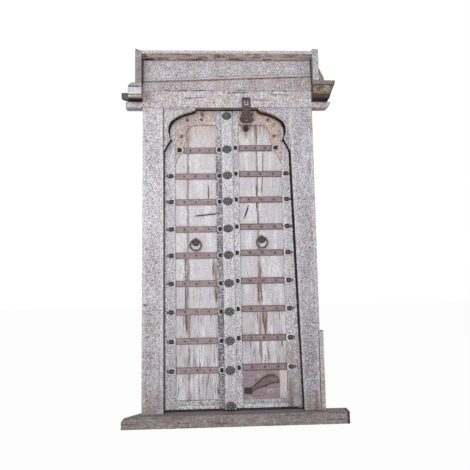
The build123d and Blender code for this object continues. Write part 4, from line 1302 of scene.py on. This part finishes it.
def make_meeting_stile(side):
    """A leaf's inner upright, with its carving and pads. The astragal covers a part of the left one."""
    sign = SIDES[side]
    left = sign < 0
    node = f"{side}_meeting_stile"
    low, high = node_box(node)
    inner = panel_edges(side)[1]
    seen = node_box("astragal")[0][0]
    if left:
        x_lines = np.concatenate([lines(low[0], seen, CARVED_STEP), lines(seen, high[0], COVERED_STEP)[1:]])
    else:
        x_lines = lines(low[0], high[0], CARVED_STEP)
    x, z, edge = square_grid(x_lines, LEAF_LINES)
    depth = stile_depth(sign * (inner - x) - INNER_PAD / 2, x, z, ROWS[side], edge, 151 + sign)
    if left:
        depth = depth * (1 - smooth(x, seen - 1.5, seen + 1.5))
    shape = plate(x, z, LEAF_FRONT, LEAF_BACK, depth, edge)
    px, pz = shape.x, shape.z
    patch = 0.35 + 0.95 * patches(px, pz, 15, 22, 158, 0.42, 0.60)
    patch = patch * (0.1 + 0.9 * smooth(-pz, -1900, -1600)) * (1 - 0.5 * smooth(-pz, -700, -300))
    paint_carved(shape, 155 + sign, 0.55 + 0.55 * left, warm=0.10 + 0.1 * left, wall_shade_and_dirt=0.8,
                 shade=0.95 * left * patch + 0.2 * foot_shade(pz), pale=0.9)
    # A scratch, and a painted shadow line along the leaf's foot above the sill
    shape.darken(0.85 * gash(px, pz, SCRATCH) * shape.face * left, 0.8 * bell(pz - LEAF_LOW, 4.0))
    pads = [pad_shape(inner - sign * INNER_PAD, inner, row, 160) for row in ROWS[side]]
    make_teak(f"{node}_carved", [shape, *pads], TEAK_UP, f"{side}_leaf", node)


# Haunch of the arched rail: insets from the outer stile and drops below the leaf's top
HAUNCH_FOOT_DROP = 385.0
HAUNCH_BEND = (67.0, 245.0)
HAUNCH_TURN = (76.0, 205.0)
HAUNCH_CORNER = 96.0
HAUNCH_CORNER_SHARE = 0.29
HAUNCH_ROUND = 1.6
HAUNCH_LINES = np.linspace(62, 90, 24)


def haunch_low(inset):
    """Height of the arched rail's lower edge at a distance from the outer stile."""
    straight = np.interp(inset, [0, HAUNCH_BEND[0], HAUNCH_TURN[0]],
                         [HAUNCH_FOOT_DROP, HAUNCH_BEND[1], HAUNCH_TURN[1]])
    along = np.clip((inset - HAUNCH_TURN[0]) / HAUNCH_CORNER, 0, 1)
    power = HAUNCH_ROUND * math.log(0.5) / math.log(1 - HAUNCH_CORNER_SHARE)
    curve = HAUNCH_TURN[1] - HAUNCH_CORNER * (1 - (1 - along) ** power) ** (1 / power)
    return LEAF_HIGH - np.where(inset < HAUNCH_TURN[0], straight, curve)


def make_arch_rail(side):
    """The rail under the arch, with its haunch, its pad and the block that is grooved for the planks."""
    sign = SIDES[side]
    right = sign > 0
    node = f"{side}_arch_rail"
    outer, inner = panel_edges(side)
    inset_lines = np.unique(np.concatenate([lines(0, abs(inner - outer), ARCH_RAIL_STEP), HAUNCH_LINES]))
    bottom = haunch_low(inset_lines)
    x, z, edge = level_grid(outer - sign * inset_lines, bottom, LEAF_HIGH, shares(SPAN["arch_rail"]))
    carving = 2.6 * (1 - diaper(x, z, DIAPER_PITCH["arch_rail"], 171)) + stipple(x, z, 177)
    carving = carving * smooth(edge, 9, 13) * worn(x, z, 172, 0.3)
    rim = 2.5 * bell(edge - ARCH_RAIL_RIM, 1.8)
    depth = carving + rim + weather(x, z, "x", 173) + ragged(x, z, edge, 174, 1.5, 3.5)
    plank_low, plank_high = node_box(f"{side}_outer_plank")
    middle = plank_low[1] - PLANK_GAP
    shape = plate(x, z, LEAF_FRONT, middle, depth, edge)
    px, pz = shape.x, shape.z
    # The arch's painted shadow line: black below the arch's shoulders and laid in as brown above them,
    # beside rust patches
    line = arch_shadow(px, pz) * shape.face
    crown = above_shoulder(pz)
    rust = 0.06 + 0.28 * patches(px, pz, 40, 70, 178, 0.50, 0.72)
    rust = np.maximum(rust, line * crown * (0.4 + 0.4 * right))
    paint_carved(shape, 175, 0.45 - 0.15 * right, warm=0.7, wall_shade_and_dirt=0.3, brown=rust, pale=0.5)
    shape.mark(tone=np.maximum(shape.marks["tone"], 0.65 + 0.3 * right),
               grime_and_shade=np.maximum(shape.marks["grime_and_shade"], 0.95 * line * (1 - crown)))
    left_end, right_end = sorted((outer, inner))
    back = block((left_end, middle, plank_high[2] + BLOCK_GAP), (right_end, LEAF_BACK, LEAF_HIGH))
    back.mark(grime_and_shade=0.3, tone=0.3)
    row = ROWS[side][0]
    foot = HAUNCH_FOOT_DROP - (LEAF_HIGH - row - STRAP_HALF)
    tip = outer - sign * (HAUNCH_BEND[0] * foot / (HAUNCH_FOOT_DROP - HAUNCH_BEND[1]) + 1.0)
    pad = pad_shape(tip + sign * OUTER_PAD, tip, row, 176)
    make_teak(f"{side}_arch_rail_carved", [shape, back, pad], TEAK_LEVEL, f"{side}_leaf", node)


def make_bottom_rail(side):
    sign = SIDES[side]
    node = f"{side}_bottom_rail"
    low, high = node_box(node)
    x, z, edge = grid(low, high, CARVED_STEP, BOTTOM_RAIL_STEP)
    middle = (low[0] + high[0]) / 2 - sign * RAIL_ROSE_SHIFT
    level = high[2] - RAIL_ROSE_DROP
    rose = flower(x - middle, z - level, RAIL_ROSE_RADIUS, 8)
    rose = rose * (np.hypot(x - middle, z - level) < RAIL_ROSE_RADIUS + 1)
    strip = window(z - high[2], *RAIL_BAND, 2.0)
    carving = 3.6 * (1 - np.maximum(diaper(x, z, DIAPER_PITCH["bottom_rail"], 181), rose))
    carving = carving * strip * worn(x, z, 182, 0.4)
    line = GROOVE_CUT * bell(z - low[2] - RAIL_LINE, 2.6)
    depth = carving + line + weather(x, z, "x", 183) + ragged(x, z, edge, 184)
    shape = plate(x, z, low[1], high[1], depth, edge)
    px, pz = shape.x, shape.z
    paint_carved(shape, 185, 0.7, warm=0.2, wall_shade_and_dirt=0.85, pale=0.9,
                 shade=0.3 * (pz > low[2] + RAIL_LINE + 0.5))
    disc = bell(np.hypot(px - middle, pz - level) / 12.0, 1.0) * shape.face
    # A painted shadow line along the leaf's foot above the sill
    under = 0.9 * bell(pz - low[2], 4.0)
    shape.darken(0.45 * disc, under)
    make_teak(f"{side}_bottom_rail_carved", [shape], TEAK_LEVEL, f"{side}_leaf", node)


# Cracks on the planks and a scratch that runs on to the stile, as paths of X and Z
SCRATCH = [(-249, 1357), (-160, 1366), (-66, 1377)]
GASHES = [SCRATCH, [(134, 1432), (122, 1390), (102, 1339)]]
PLANK_CRACKS = {
    "left_outer": [[(-301, 1125), (-303, 1000), (-302, 820), (-300, 650), (-291, 560)]],
    "left_inner": [
        [(-143, 1600), (-141, 1500), (-143, 1430)],
        [(-112, 1090), (-116, 1000), (-114, 930)],
        [(-100, 880), (-93, 800), (-97, 750)],
        [(-150, 330), (-154, 280), (-164, 205)],
        [(-200, 700), (-196, 600)],
    ],
    "right_inner": [
        [(158, 490), (149, 430), (146, 380)],
        [(186, 1600), (192, 1500), (188, 1380)],
        [(184, 920), (188, 850), (184, 740)],
    ],
    "right_outer": [
        [(243, 1830), (238, 1720), (231, 1606), (228, 1480)],
        [(212, 1040), (206, 940), (203, 900), (214, 780), (222, 740)],
        [(212, 700), (220, 640), (229, 560)],
        [(247, 700), (236, 640), (229, 560), (230, 520)],
        [(232, 500), (246, 440), (252, 370)],
        [(300, 470), (304, 400)],
    ],
}
# Old wet places on the planks: strength, place and width across, lowest, highest, softness, streak limits
WET_PLACES = {
    "left": [(0.65, -101, 15.0, 720, 1100, 90, 0.2, 0.55), (0.35, -142, 9.0, 1400, 1610, 60, 0.3, 0.6)],
    "right": [(0.6, 124, 13.0, 1880, 2000, 60, 0.25, 0.5)],
}


def plank_stain(x, z, side, joint):
    """Brown stains: beside the joint, under the arch and in a few old wet places."""
    streak = fractal(x, z, 13, 210, 191)
    wander = 12.0 * (fractal(x, z, 900, 150, 193) - 0.5)
    width = 11.0 + 7.0 * foot_shade(z)
    stain = 0.62 * bell((x - joint - wander) / width, 1.0) * patches(x, z, 26, 90, 196, 0.25, 0.60)
    for strength, place, width, low, high, soft, first, full in WET_PLACES[side]:
        wet = bell(x - place, width) * window(z, low, high, soft)
        stain = stain + strength * wet * smooth(streak, first, full)
    ceiling = smooth(z, 1850, 2010)
    if side == "right":
        stain = stain + 0.55 * ceiling * patches(x, z, 17, 210, 192, 0.38, 0.62)
        flare = 7.0 + 17.0 * np.clip((z - 520) / 180, 0, 1)
        wet = bell((x - 229) / flare, 1.0) * window(z, 505, 730, 40)
        stain = stain + 0.75 * wet * smooth(streak, 0.2, 0.55)
        stain = stain + 0.3 * bell(x - 352, 12.0) * smooth(streak, 0.45, 0.7)
    else:
        stain = stain + 0.30 * bell(x + 270, 22.0) * smooth(z, 1820, 1900) * smooth(streak, 0.2, 0.5)
        stain = stain + 0.26 * window(x, -306, -276, 5) * window(z, 540, 1130, 40)
        stain = stain + 0.25 * ceiling * patches(x, z, 24, 260, 194, 0.45, 0.65)
    return stain


def make_planks(side):
    inner_low, inner_high = node_box(f"{side}_inner_plank")
    joint = inner_low[0] if side == "left" else inner_high[0]
    for name in ("outer", "inner"):
        node = f"{side}_{name}_plank"
        low, high = node_box(node)
        x, z, edge = grid(low, high, PLANK_STEP, PLANK_LONG_STEP)
        paths = PLANK_CRACKS[f"{side}_{name}"]
        split = np.maximum.reduce([cracks(x, z, paths, 2.4), *(gash(x, z, path) for path in GASHES)])
        shift = 201 + len(node)
        depth = 1.3 * weather(x, z, "z", shift) + 6.0 * split + ragged(x, z, edge, shift + 1, 1.5, 8.0)
        shape = plate(x, z, low[1], high[1], depth, edge)
        px, pz = shape.x, shape.z
        face = shape.face
        fine = fractal(px, pz, 6, 150, shift + 2)
        crack = 0.7 * cracks(px, pz, paths, 2.4)
        grime_and_shade = np.maximum.reduce([crack, *(0.85 * gash(px, pz, path) for path in GASHES)]) * face
        stain = plank_stain(px, pz, side, joint) + 0.4 * cracks(px, pz, paths, 5.0)
        cloud = fractal(px, pz, 60, 420, shift + 3)
        warm = 0.18 * patches(px, pz, 40, 330, shift + 4, 0.50, 0.78)
        shape.mark(grime_and_shade=grime_and_shade, stain=stain * face + 0.3 * ~face, tone=warm + 0.55 * smooth(pz, 1800, 1960),
                   bleach=0.7 * smooth(cloud, 0.42, 0.66) * face,
                   shade=0.04 + 0.16 * (side == "right") + 0.42 * foot_shade(pz))
        # Dark layers: dirt in deep cracks, dark streaks in the grain more towards the foot, painted shade
        # on the side walls near the front, and the dark joint
        shape.darken(0.45 * smooth(shape.depth, 4.0, 8.0),
                    (0.14 + 0.55 * foot_shade(pz)) * smooth(fine, 0.54, 0.74),
                    0.8 * smooth(shape.wall, 0, 0.4) * (shape.wall < 0.9),
                    0.65 * bell(px - joint, 2.6) * (0.4 + fractal(px, pz, 900, 90, 195)))
        make_object(f"{node}_weathered", [shape], PLANK, "bleached_plank", f"{side}_leaf", node)


def make_straps(side):
    """Iron straps, slightly bent and hammered, with dark edges."""
    for number in range(1, STRAP_COUNT + 1):
        node = f"{side}_strap_{number}"
        low, high = node_box(node)
        x, z, edge = grid(low, high, PLAIN_STEP, PLAIN_STEP)
        seed = 211 + number + 20 * (SIDES[side] > 0)
        dents = fractal(x, z, 34, 24, seed)
        depth = 1.4 * dents + arris(edge, 1.6) + 1.2 * patches(x, z, 12, 9, seed + 3, 0.66, 0.8)
        shape = plate(x, z, low[1], high[1], np.minimum(depth, STRAP_DENT), edge)
        px, pz = shape.x, shape.z
        rim = (1 - smooth(shape.edge, 1.5, 7.0)) * (0.45 + 0.5 * fractal(px, pz, 26, 12, seed + 1))
        end = (1 - smooth(np.minimum(px - low[0], high[0] - px), 2, 9)) * 0.55
        nails = 0.0
        middle = (low[2] + high[2]) / 2
        for share in STRAP_NAILS:
            place = low[0] + share * (high[0] - low[0])
            nails = np.maximum(nails, bell(np.hypot(px - place, pz - middle), 9.0))
        rust = 0.45 * patches(px, pz, 60, 30, seed + 2, 0.52, 0.72)
        rubbed = 0.5 * patches(px, pz, 45, 22, seed + 4, 0.50, 0.70)
        # The strap's sides are darkened as painted shade
        dirt = np.maximum.reduce([0.7 * rim, end, 0.5 * nails, 0.6 * (shape.wall > 0)])
        shape.mark(grime_and_shade=dirt + 0.2 * (SIDES[side] > 0), stain=rust, bleach=rubbed)
        make_object(f"{node}_forged", [shape], STRAP, "strap_iron", f"{side}_leaf", node)


def round_profile(share, turn):
    return hump(share)


def forged_profile(share, turn):
    """A hand-forged head with four soft facets."""
    facets = np.maximum(np.abs(np.cos(turn)), np.abs(np.sin(turn)))
    return np.clip(1 - share * facets ** 0.8, 0, 1) ** 0.7


def rosette_profile(share, turn):
    """A flat rosette with an eye and eight petals."""
    petals = 0.62 + 0.38 * np.abs(np.cos(4 * turn))
    outside = smooth(share, 0.2, 0.5)
    return np.maximum(hump(share, 3) * (petals * outside + 0.3 * (1 - outside)), 0.95 * hump(share / 0.3))


def make_fasteners(side):
    """Nails on the straps, studs on the pads and rosettes on the arched rail, as in the frame."""
    node = f"{side}_nails"
    shapes = []
    for low, high in islands(node):
        x, z = (low[0] + high[0]) / 2, (low[2] + high[2]) / 2
        across, rise = (high[0] - low[0]) / 2, high[1] - low[1]
        large = across >= STUD_MOST
        profile = forged_profile if across < NAIL_MOST else rosette_profile if large else round_profile
        sides, rings = (48, 9) if large else (16, 4)
        shape = dome(x, z, high[1] + NAIL_ROOT, across, across, rise + NAIL_ROOT, profile, sides, rings)
        speck = fractal(shape.x, shape.z, 6, 6, 221)
        rubbed = 0.7 if large else 0.25
        shapes.append(shape.mark(grime_and_shade=0.5 * speck * (1 - rubbed), stain=0.3 * speck, bleach=rubbed))
    make_object(f"{side}_nails_forged", shapes, IRON, "black_iron", f"{side}_leaf", node)


def make_tabs(side):
    """Dark iron tabs that lie in the pads under the studs."""
    sign = SIDES[side]
    outer = panel_edges(side)[0]
    x_lines = lines(*sorted((outer + sign * TAB_INSET, outer + sign * (OUTER_PAD + TAB_REACH))), TAB_STEP)
    shapes = []
    for row in ROWS[side][1:]:
        x, z, edge = square_grid(x_lines, lines(row - TAB_HALF, row + TAB_HALF, TAB_STEP))
        depth = 0.8 * fractal(x, z, 14, 10, 231) + arris(edge, 1.2)
        shape = plate(x, z, LEAF_FRONT + TAB_FRONT, LEAF_FRONT + TAB_BACK, depth, edge, (1.0,))
        rim = 1 - smooth(shape.edge, 1.0, 5.0)
        shapes.append(shape.mark(grime_and_shade=0.45 + 0.4 * rim, stain=0.15))
    make_object(f"{side}_strap_tabs", shapes, STRAP, "strap_iron", f"{side}_leaf")


def make_astragal():
    low, high = node_box("astragal")
    x, z, edge = grid(low, high, CARVED_STEP, CARVED_STEP)
    side = np.minimum(x - low[0], high[0] - x)
    u = x - (low[0] + high[0]) / 2
    place = repeat(z, ASTRAGAL_PITCH, low[2])
    lozenge = lozenge_carving(u, place, ASTRAGAL_LOZENGE, ASTRAGAL_PITCH, 4)
    chain = 3.6 * (1 - lozenge) * window(u, -ASTRAGAL_BAND, ASTRAGAL_BAND, 2.5)
    cord = 2.6 * (1 - twist(u, z, *TWIST["astragal"])) * window(side, 4, 15, 3.0)
    slope = arris(side, ASTRAGAL_TURN)
    carving = (chain + cord + 0.8 * stipple(x, z, 245)) * worn(x, z, 241, 0.4)
    depth = carving + slope + 0.8 * weather(x, z, "z", 242) + ragged(x, z, edge, 243, 0.8, 2.0)
    depth = np.minimum(depth, high[1] - low[1] - ASTRAGAL_LEAST)
    shape = plate(x, z, low[1], high[1], depth, edge)
    shape.depth = np.concatenate([(depth - slope).ravel(), np.zeros(len(shape.points) - depth.size)])
    paint_carved(shape, 244, 0.42, warm=0.03, wall_shade_and_dirt=0.6, pale=0.95, shade=0.3 * foot_shade(shape.z))
    make_teak("astragal_carved", [shape], TEAK_UP, "left_leaf", "astragal")


def boss_profile(share, turn):
    """A rosette of six lobes round a button."""
    lobes = bell(share - 0.64, 0.24) * (0.35 + 0.60 * np.abs(np.cos(3 * turn)) ** 1.5)
    height = np.maximum.reduce([0.34 * hump(share, 6), lobes, hump(share / 0.30)])
    return np.clip(height * (1 - smooth(share, 0.94, 1.0)), 0, 1)


def make_bosses():
    """Cast oval bosses in a row down the astragal."""
    shapes = []
    for number, (low, high) in enumerate(islands("astragal_bosses")):
        x, z = (low[0] + high[0]) / 2, (low[2] + high[2]) / 2
        half_across, half_up = (high[0] - low[0]) / 2, (high[2] - low[2]) / 2
        root = high[1] + BOSS_ROOT
        shape = dome(x, z, root, half_across, half_up, root - low[1], boss_profile, 48, 12)
        speck = fractal(shape.x, shape.z, 9, 9, 251 + number)
        hollow = smooth(shape.depth, 0.25, 0.85) * (0.30 + 0.6 * speck)
        rubbed = 0.5 * (1 - smooth(shape.depth, 0.05, 0.40)) * smooth(speck, 0.42, 0.62)
        rust = 0.25 * smooth(speck, 0.5, 0.75)
        shapes.append(shape.mark(grime_and_shade=hollow, stain=rust, bleach=rubbed))
    make_object("astragal_bosses_cast", shapes, BOSS, "boss_iron", "left_leaf", "astragal_bosses")


def make_repair():
    """The board and the upright that mend the lowest right bay."""
    for node, material, slot, along, seed in (("repair_board", REPAIR, "repair_teak", "x", 261),
                                              ("repair_upright", PLANK, "bleached_plank", "z", 266)):
        low, high = node_box(node)
        x, z, edge = grid(low, high, CARVED_STEP, CARVED_STEP)
        depth = 1.2 * weather(x, z, along, seed) + ragged(x, z, edge, seed + 1, 1.0, 4.0)
        shape = plate(x, z, low[1], high[1], depth, edge)
        px, pz = shape.x, shape.z
        cloud = fractal(px, pz, 70, 26, seed + 2)
        fine = fractal(px, pz, 60 if along == "x" else 6, 6 if along == "x" else 60, seed + 3)
        # The sides are darkened as painted shade
        shape.mark(grime_and_shade=np.maximum(0.5 * smooth(fine, 0.58, 0.78), 0.5 * (shape.wall > 0)), stain=0.1,
                   bleach=0.6 * smooth(cloud, 0.55, 0.75), tone=0.5, shade=0.2 * smooth(cloud, 0.6, 0.4))
        make_object(f"{node}_worn", [shape], material, slot, "right_leaf", node)


def washer(x, z, front, back, inner, outer, sides=32):
    """A flat ring."""
    turn = np.linspace(0, 2 * math.pi, sides, endpoint=False)
    index = np.arange(sides)
    points, quads = [], []
    for level, (radius, y) in enumerate(((inner, front), (outer, front), (outer, back), (inner, back))):
        across, up = radius * np.cos(turn), radius * np.sin(turn)
        points.append(np.stack([x + across, np.full(sides, y), z + up], -1))
        quads.append(band(index + level * sides, index + (level + 1) % 4 * sides))
    return Shape(np.concatenate(points), np.concatenate(quads), [])


def make_latch():
    """The latch bar: an eye on the stud and a leaf-shaped blade with a dark border."""
    low, high = node_box("latch_bar")
    plate_low, plate_high = max(islands("latch_studs"), key=lambda box: box[1][0] - box[0][0])
    pivot = (plate_low + plate_high)[[0, 2]] / 2
    cos, sin = math.cos(math.radians(LATCH_TILT)), math.sin(math.radians(LATCH_TILT))
    away = front_points("latch_bar", low[1]) - pivot
    along = away[:, 0] * cos + away[:, 1] * sin
    aside = away[:, 1] * cos - away[:, 0] * sin
    reach = np.hypot(along, aside)
    hole, eye = reach.min(), -along.min()
    edges = []
    for side in (1, -1):
        picked = (reach > hole + 1) & (side * aside > 0.1)
        order = np.argsort(along[picked])
        edges.append((along[picked][order], aside[picked][order]))
    u_lines = lines(0.6 * eye, along.max(), CARVED_STEP)
    top, bottom = (np.interp(u_lines, *edge) for edge in edges)
    v = bottom + (top - bottom) * shares(SPAN["blade"])[:, None]
    x, z = pivot[0] + u_lines * cos - v * sin, pivot[1] + u_lines * sin + v * cos
    edge = edge_distance(x, z)
    contour = bell(edge - 12.0, 2.0) * (u_lines > 110)
    depth = 0.9 * fractal(x, z, 22, 16, 281) + arris(edge, 1.5) + contour
    blade = plate(x, z, low[1], high[1], depth, edge)
    px, pz = blade.x, blade.z
    u = (px - pivot[0]) * cos + (pz - pivot[1]) * sin
    border = 1 - smooth(blade.edge, 3.0, 8.0)
    contour = 0.55 * bell(blade.edge - 13.0, 2.5) * smooth(u, 100, 150)
    # The blade's sides are darkened as painted shade
    blade.mark(grime_and_shade=np.maximum.reduce([0.95 * border, contour, 0.9 * (blade.wall > 0)]), stain=0.25,
               bleach=0.4 * patches(px, pz, 25, 18, 283, 0.45, 0.65))
    ring = washer(*pivot, low[1], high[1], hole, eye).mark(grime_and_shade=0.85)
    make_object("latch_bar_forged", [blade, ring], LATCH_IRON, "black_iron", "latch", "latch_bar")


def dress(material, *nodes):
    """Gives nodes that stay as they are their material."""
    for node in nodes:
        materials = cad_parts[node].data.materials
        materials.clear()
        materials.append(material)


def dress_ironwork():
    """Materials for the nodes whose shape is right as it is."""
    dress(RING_IRON, "left_ring", "right_ring", "left_ring_mount", "right_ring_mount")
    dress(IRON, "hasp", "hasp_staple", "leaf_staple", "latch_studs")
    dress(TEAK_LEVEL, "head_beam")


# Stage

def add_camera():
    yaw, pitch, roll = (math.radians(angle) for angle in (CAMERA_YAW, CAMERA_PITCH, CAMERA_ROLL))
    forward = Vector((math.sin(yaw) * math.cos(pitch), math.cos(yaw) * math.cos(pitch), math.sin(pitch)))
    level = Vector((math.cos(yaw), -math.sin(yaw), 0.0))
    right = level * math.cos(roll) + level.cross(forward) * math.sin(roll)
    up = right.cross(forward)
    turn = Matrix((right, up, -forward)).transposed().to_4x4()
    camera = bpy.data.cameras.new("photo_camera")
    camera.sensor_width = SENSOR
    camera.lens = FOCAL_PIXELS / PHOTO_PIXELS * SENSOR
    holder = bpy.data.objects.new("photo_camera", camera)
    holder.matrix_world = Matrix.Translation(CAMERA_PLACE) @ turn
    bpy.context.scene.collection.objects.link(holder)
    bpy.context.scene.camera = holder


def seen_directly(nodes, links):
    """1 for rays from the camera, from gloss and through glass."""
    path = nodes.new("ShaderNodeLightPath")
    value = path.outputs["Is Camera Ray"]
    for name in ("Is Glossy Ray", "Is Transmission Ray"):
        larger = nodes.new("ShaderNodeMath")
        larger.operation = "MAXIMUM"
        links.new(value, larger.inputs[0])
        links.new(path.outputs[name], larger.inputs[1])
        value = larger.outputs["Value"]
    return value


def mix_shaders(nodes, links, factor, first, second, end):
    """Mixes two shaders into an end node, where a factor of 1 is all of the second."""
    mix = nodes.new("ShaderNodeMixShader")
    links.new(factor, mix.inputs["Fac"])
    links.new(first, mix.inputs[1])
    links.new(second, mix.inputs[2])
    links.new(mix.outputs["Shader"], nodes[end].inputs["Surface"])


def add_sky():
    world = bpy.data.worlds.new("sky")
    world.use_nodes = True
    nodes, links = world.node_tree.nodes, world.node_tree.links
    light = nodes["Background"]
    light.inputs["Color"].default_value = SKY_COLOUR
    light.inputs["Strength"].default_value = SKY_STRENGTH
    white = nodes.new("ShaderNodeBackground")
    white.inputs["Color"].default_value = WHITE
    mix_shaders(nodes, links, seen_directly(nodes, links), light.outputs["Background"],
                white.outputs["Background"], "World Output")
    bpy.context.scene.world = world


def add_floor():
    mesh = bpy.data.meshes.new("floor")
    corners = [(x * FLOOR_REACH, y * FLOOR_REACH, 0) for x, y in ((-1, -1), (1, -1), (1, 1), (-1, 1))]
    mesh.from_pydata(corners, [], [(0, 1, 2, 3)])
    material = bpy.data.materials.new("pale_floor")
    material.use_nodes = True
    nodes, links = material.node_tree.nodes, material.node_tree.links
    matt = nodes["Principled BSDF"]
    matt.inputs["Base Color"].default_value = FLOOR_COLOUR
    matt.inputs["Roughness"].default_value = 1.0
    matt.inputs["Specular IOR Level"].default_value = 0.0
    white = nodes.new("ShaderNodeEmission")
    share = nodes.new("ShaderNodeMath")
    share.operation = "MULTIPLY"
    share.inputs[1].default_value = FLOOR_WHITE
    links.new(seen_directly(nodes, links), share.inputs[0])
    mix_shaders(nodes, links, share.outputs["Value"], matt.outputs["BSDF"], white.outputs["Emission"],
                "Material Output")
    mesh.materials.append(material)
    floor = bpy.data.objects.new("floor", mesh)
    bpy.context.scene.collection.objects.link(floor)


def add_key_light():
    lamp = bpy.data.lights.new("key", "AREA")
    lamp.energy = KEY_POWER
    lamp.size = KEY_SIZE
    holder = bpy.data.objects.new("key", lamp)
    holder.location = KEY_PLACE
    holder.rotation_euler = (Vector(KEY_AIM) - Vector(KEY_PLACE)).to_track_quat("-Z", "Y").to_euler()
    bpy.context.scene.collection.objects.link(holder)


make_left_post()
make_right_post()
make_repair_strip()
make_lintel()
make_lower_frieze()
make_upper_frieze()
make_cornice_top()
for frame_side in SIDES:
    make_end_board(frame_side)
make_left_corbel()
make_right_corbel()
make_sill()
make_astragal()
make_bosses()
make_repair()
make_latch()
for leaf_side in SIDES:
    make_spandrel(leaf_side)
    make_pivot_stile(leaf_side)
    make_meeting_stile(leaf_side)
    make_arch_rail(leaf_side)
    make_bottom_rail(leaf_side)
    make_planks(leaf_side)
    make_straps(leaf_side)
    make_fasteners(leaf_side)
    make_tabs(leaf_side)
dress_ironwork()
add_camera()
add_sky()
add_floor()
add_key_light()
bpy.context.scene.view_settings.view_transform = "Standard"
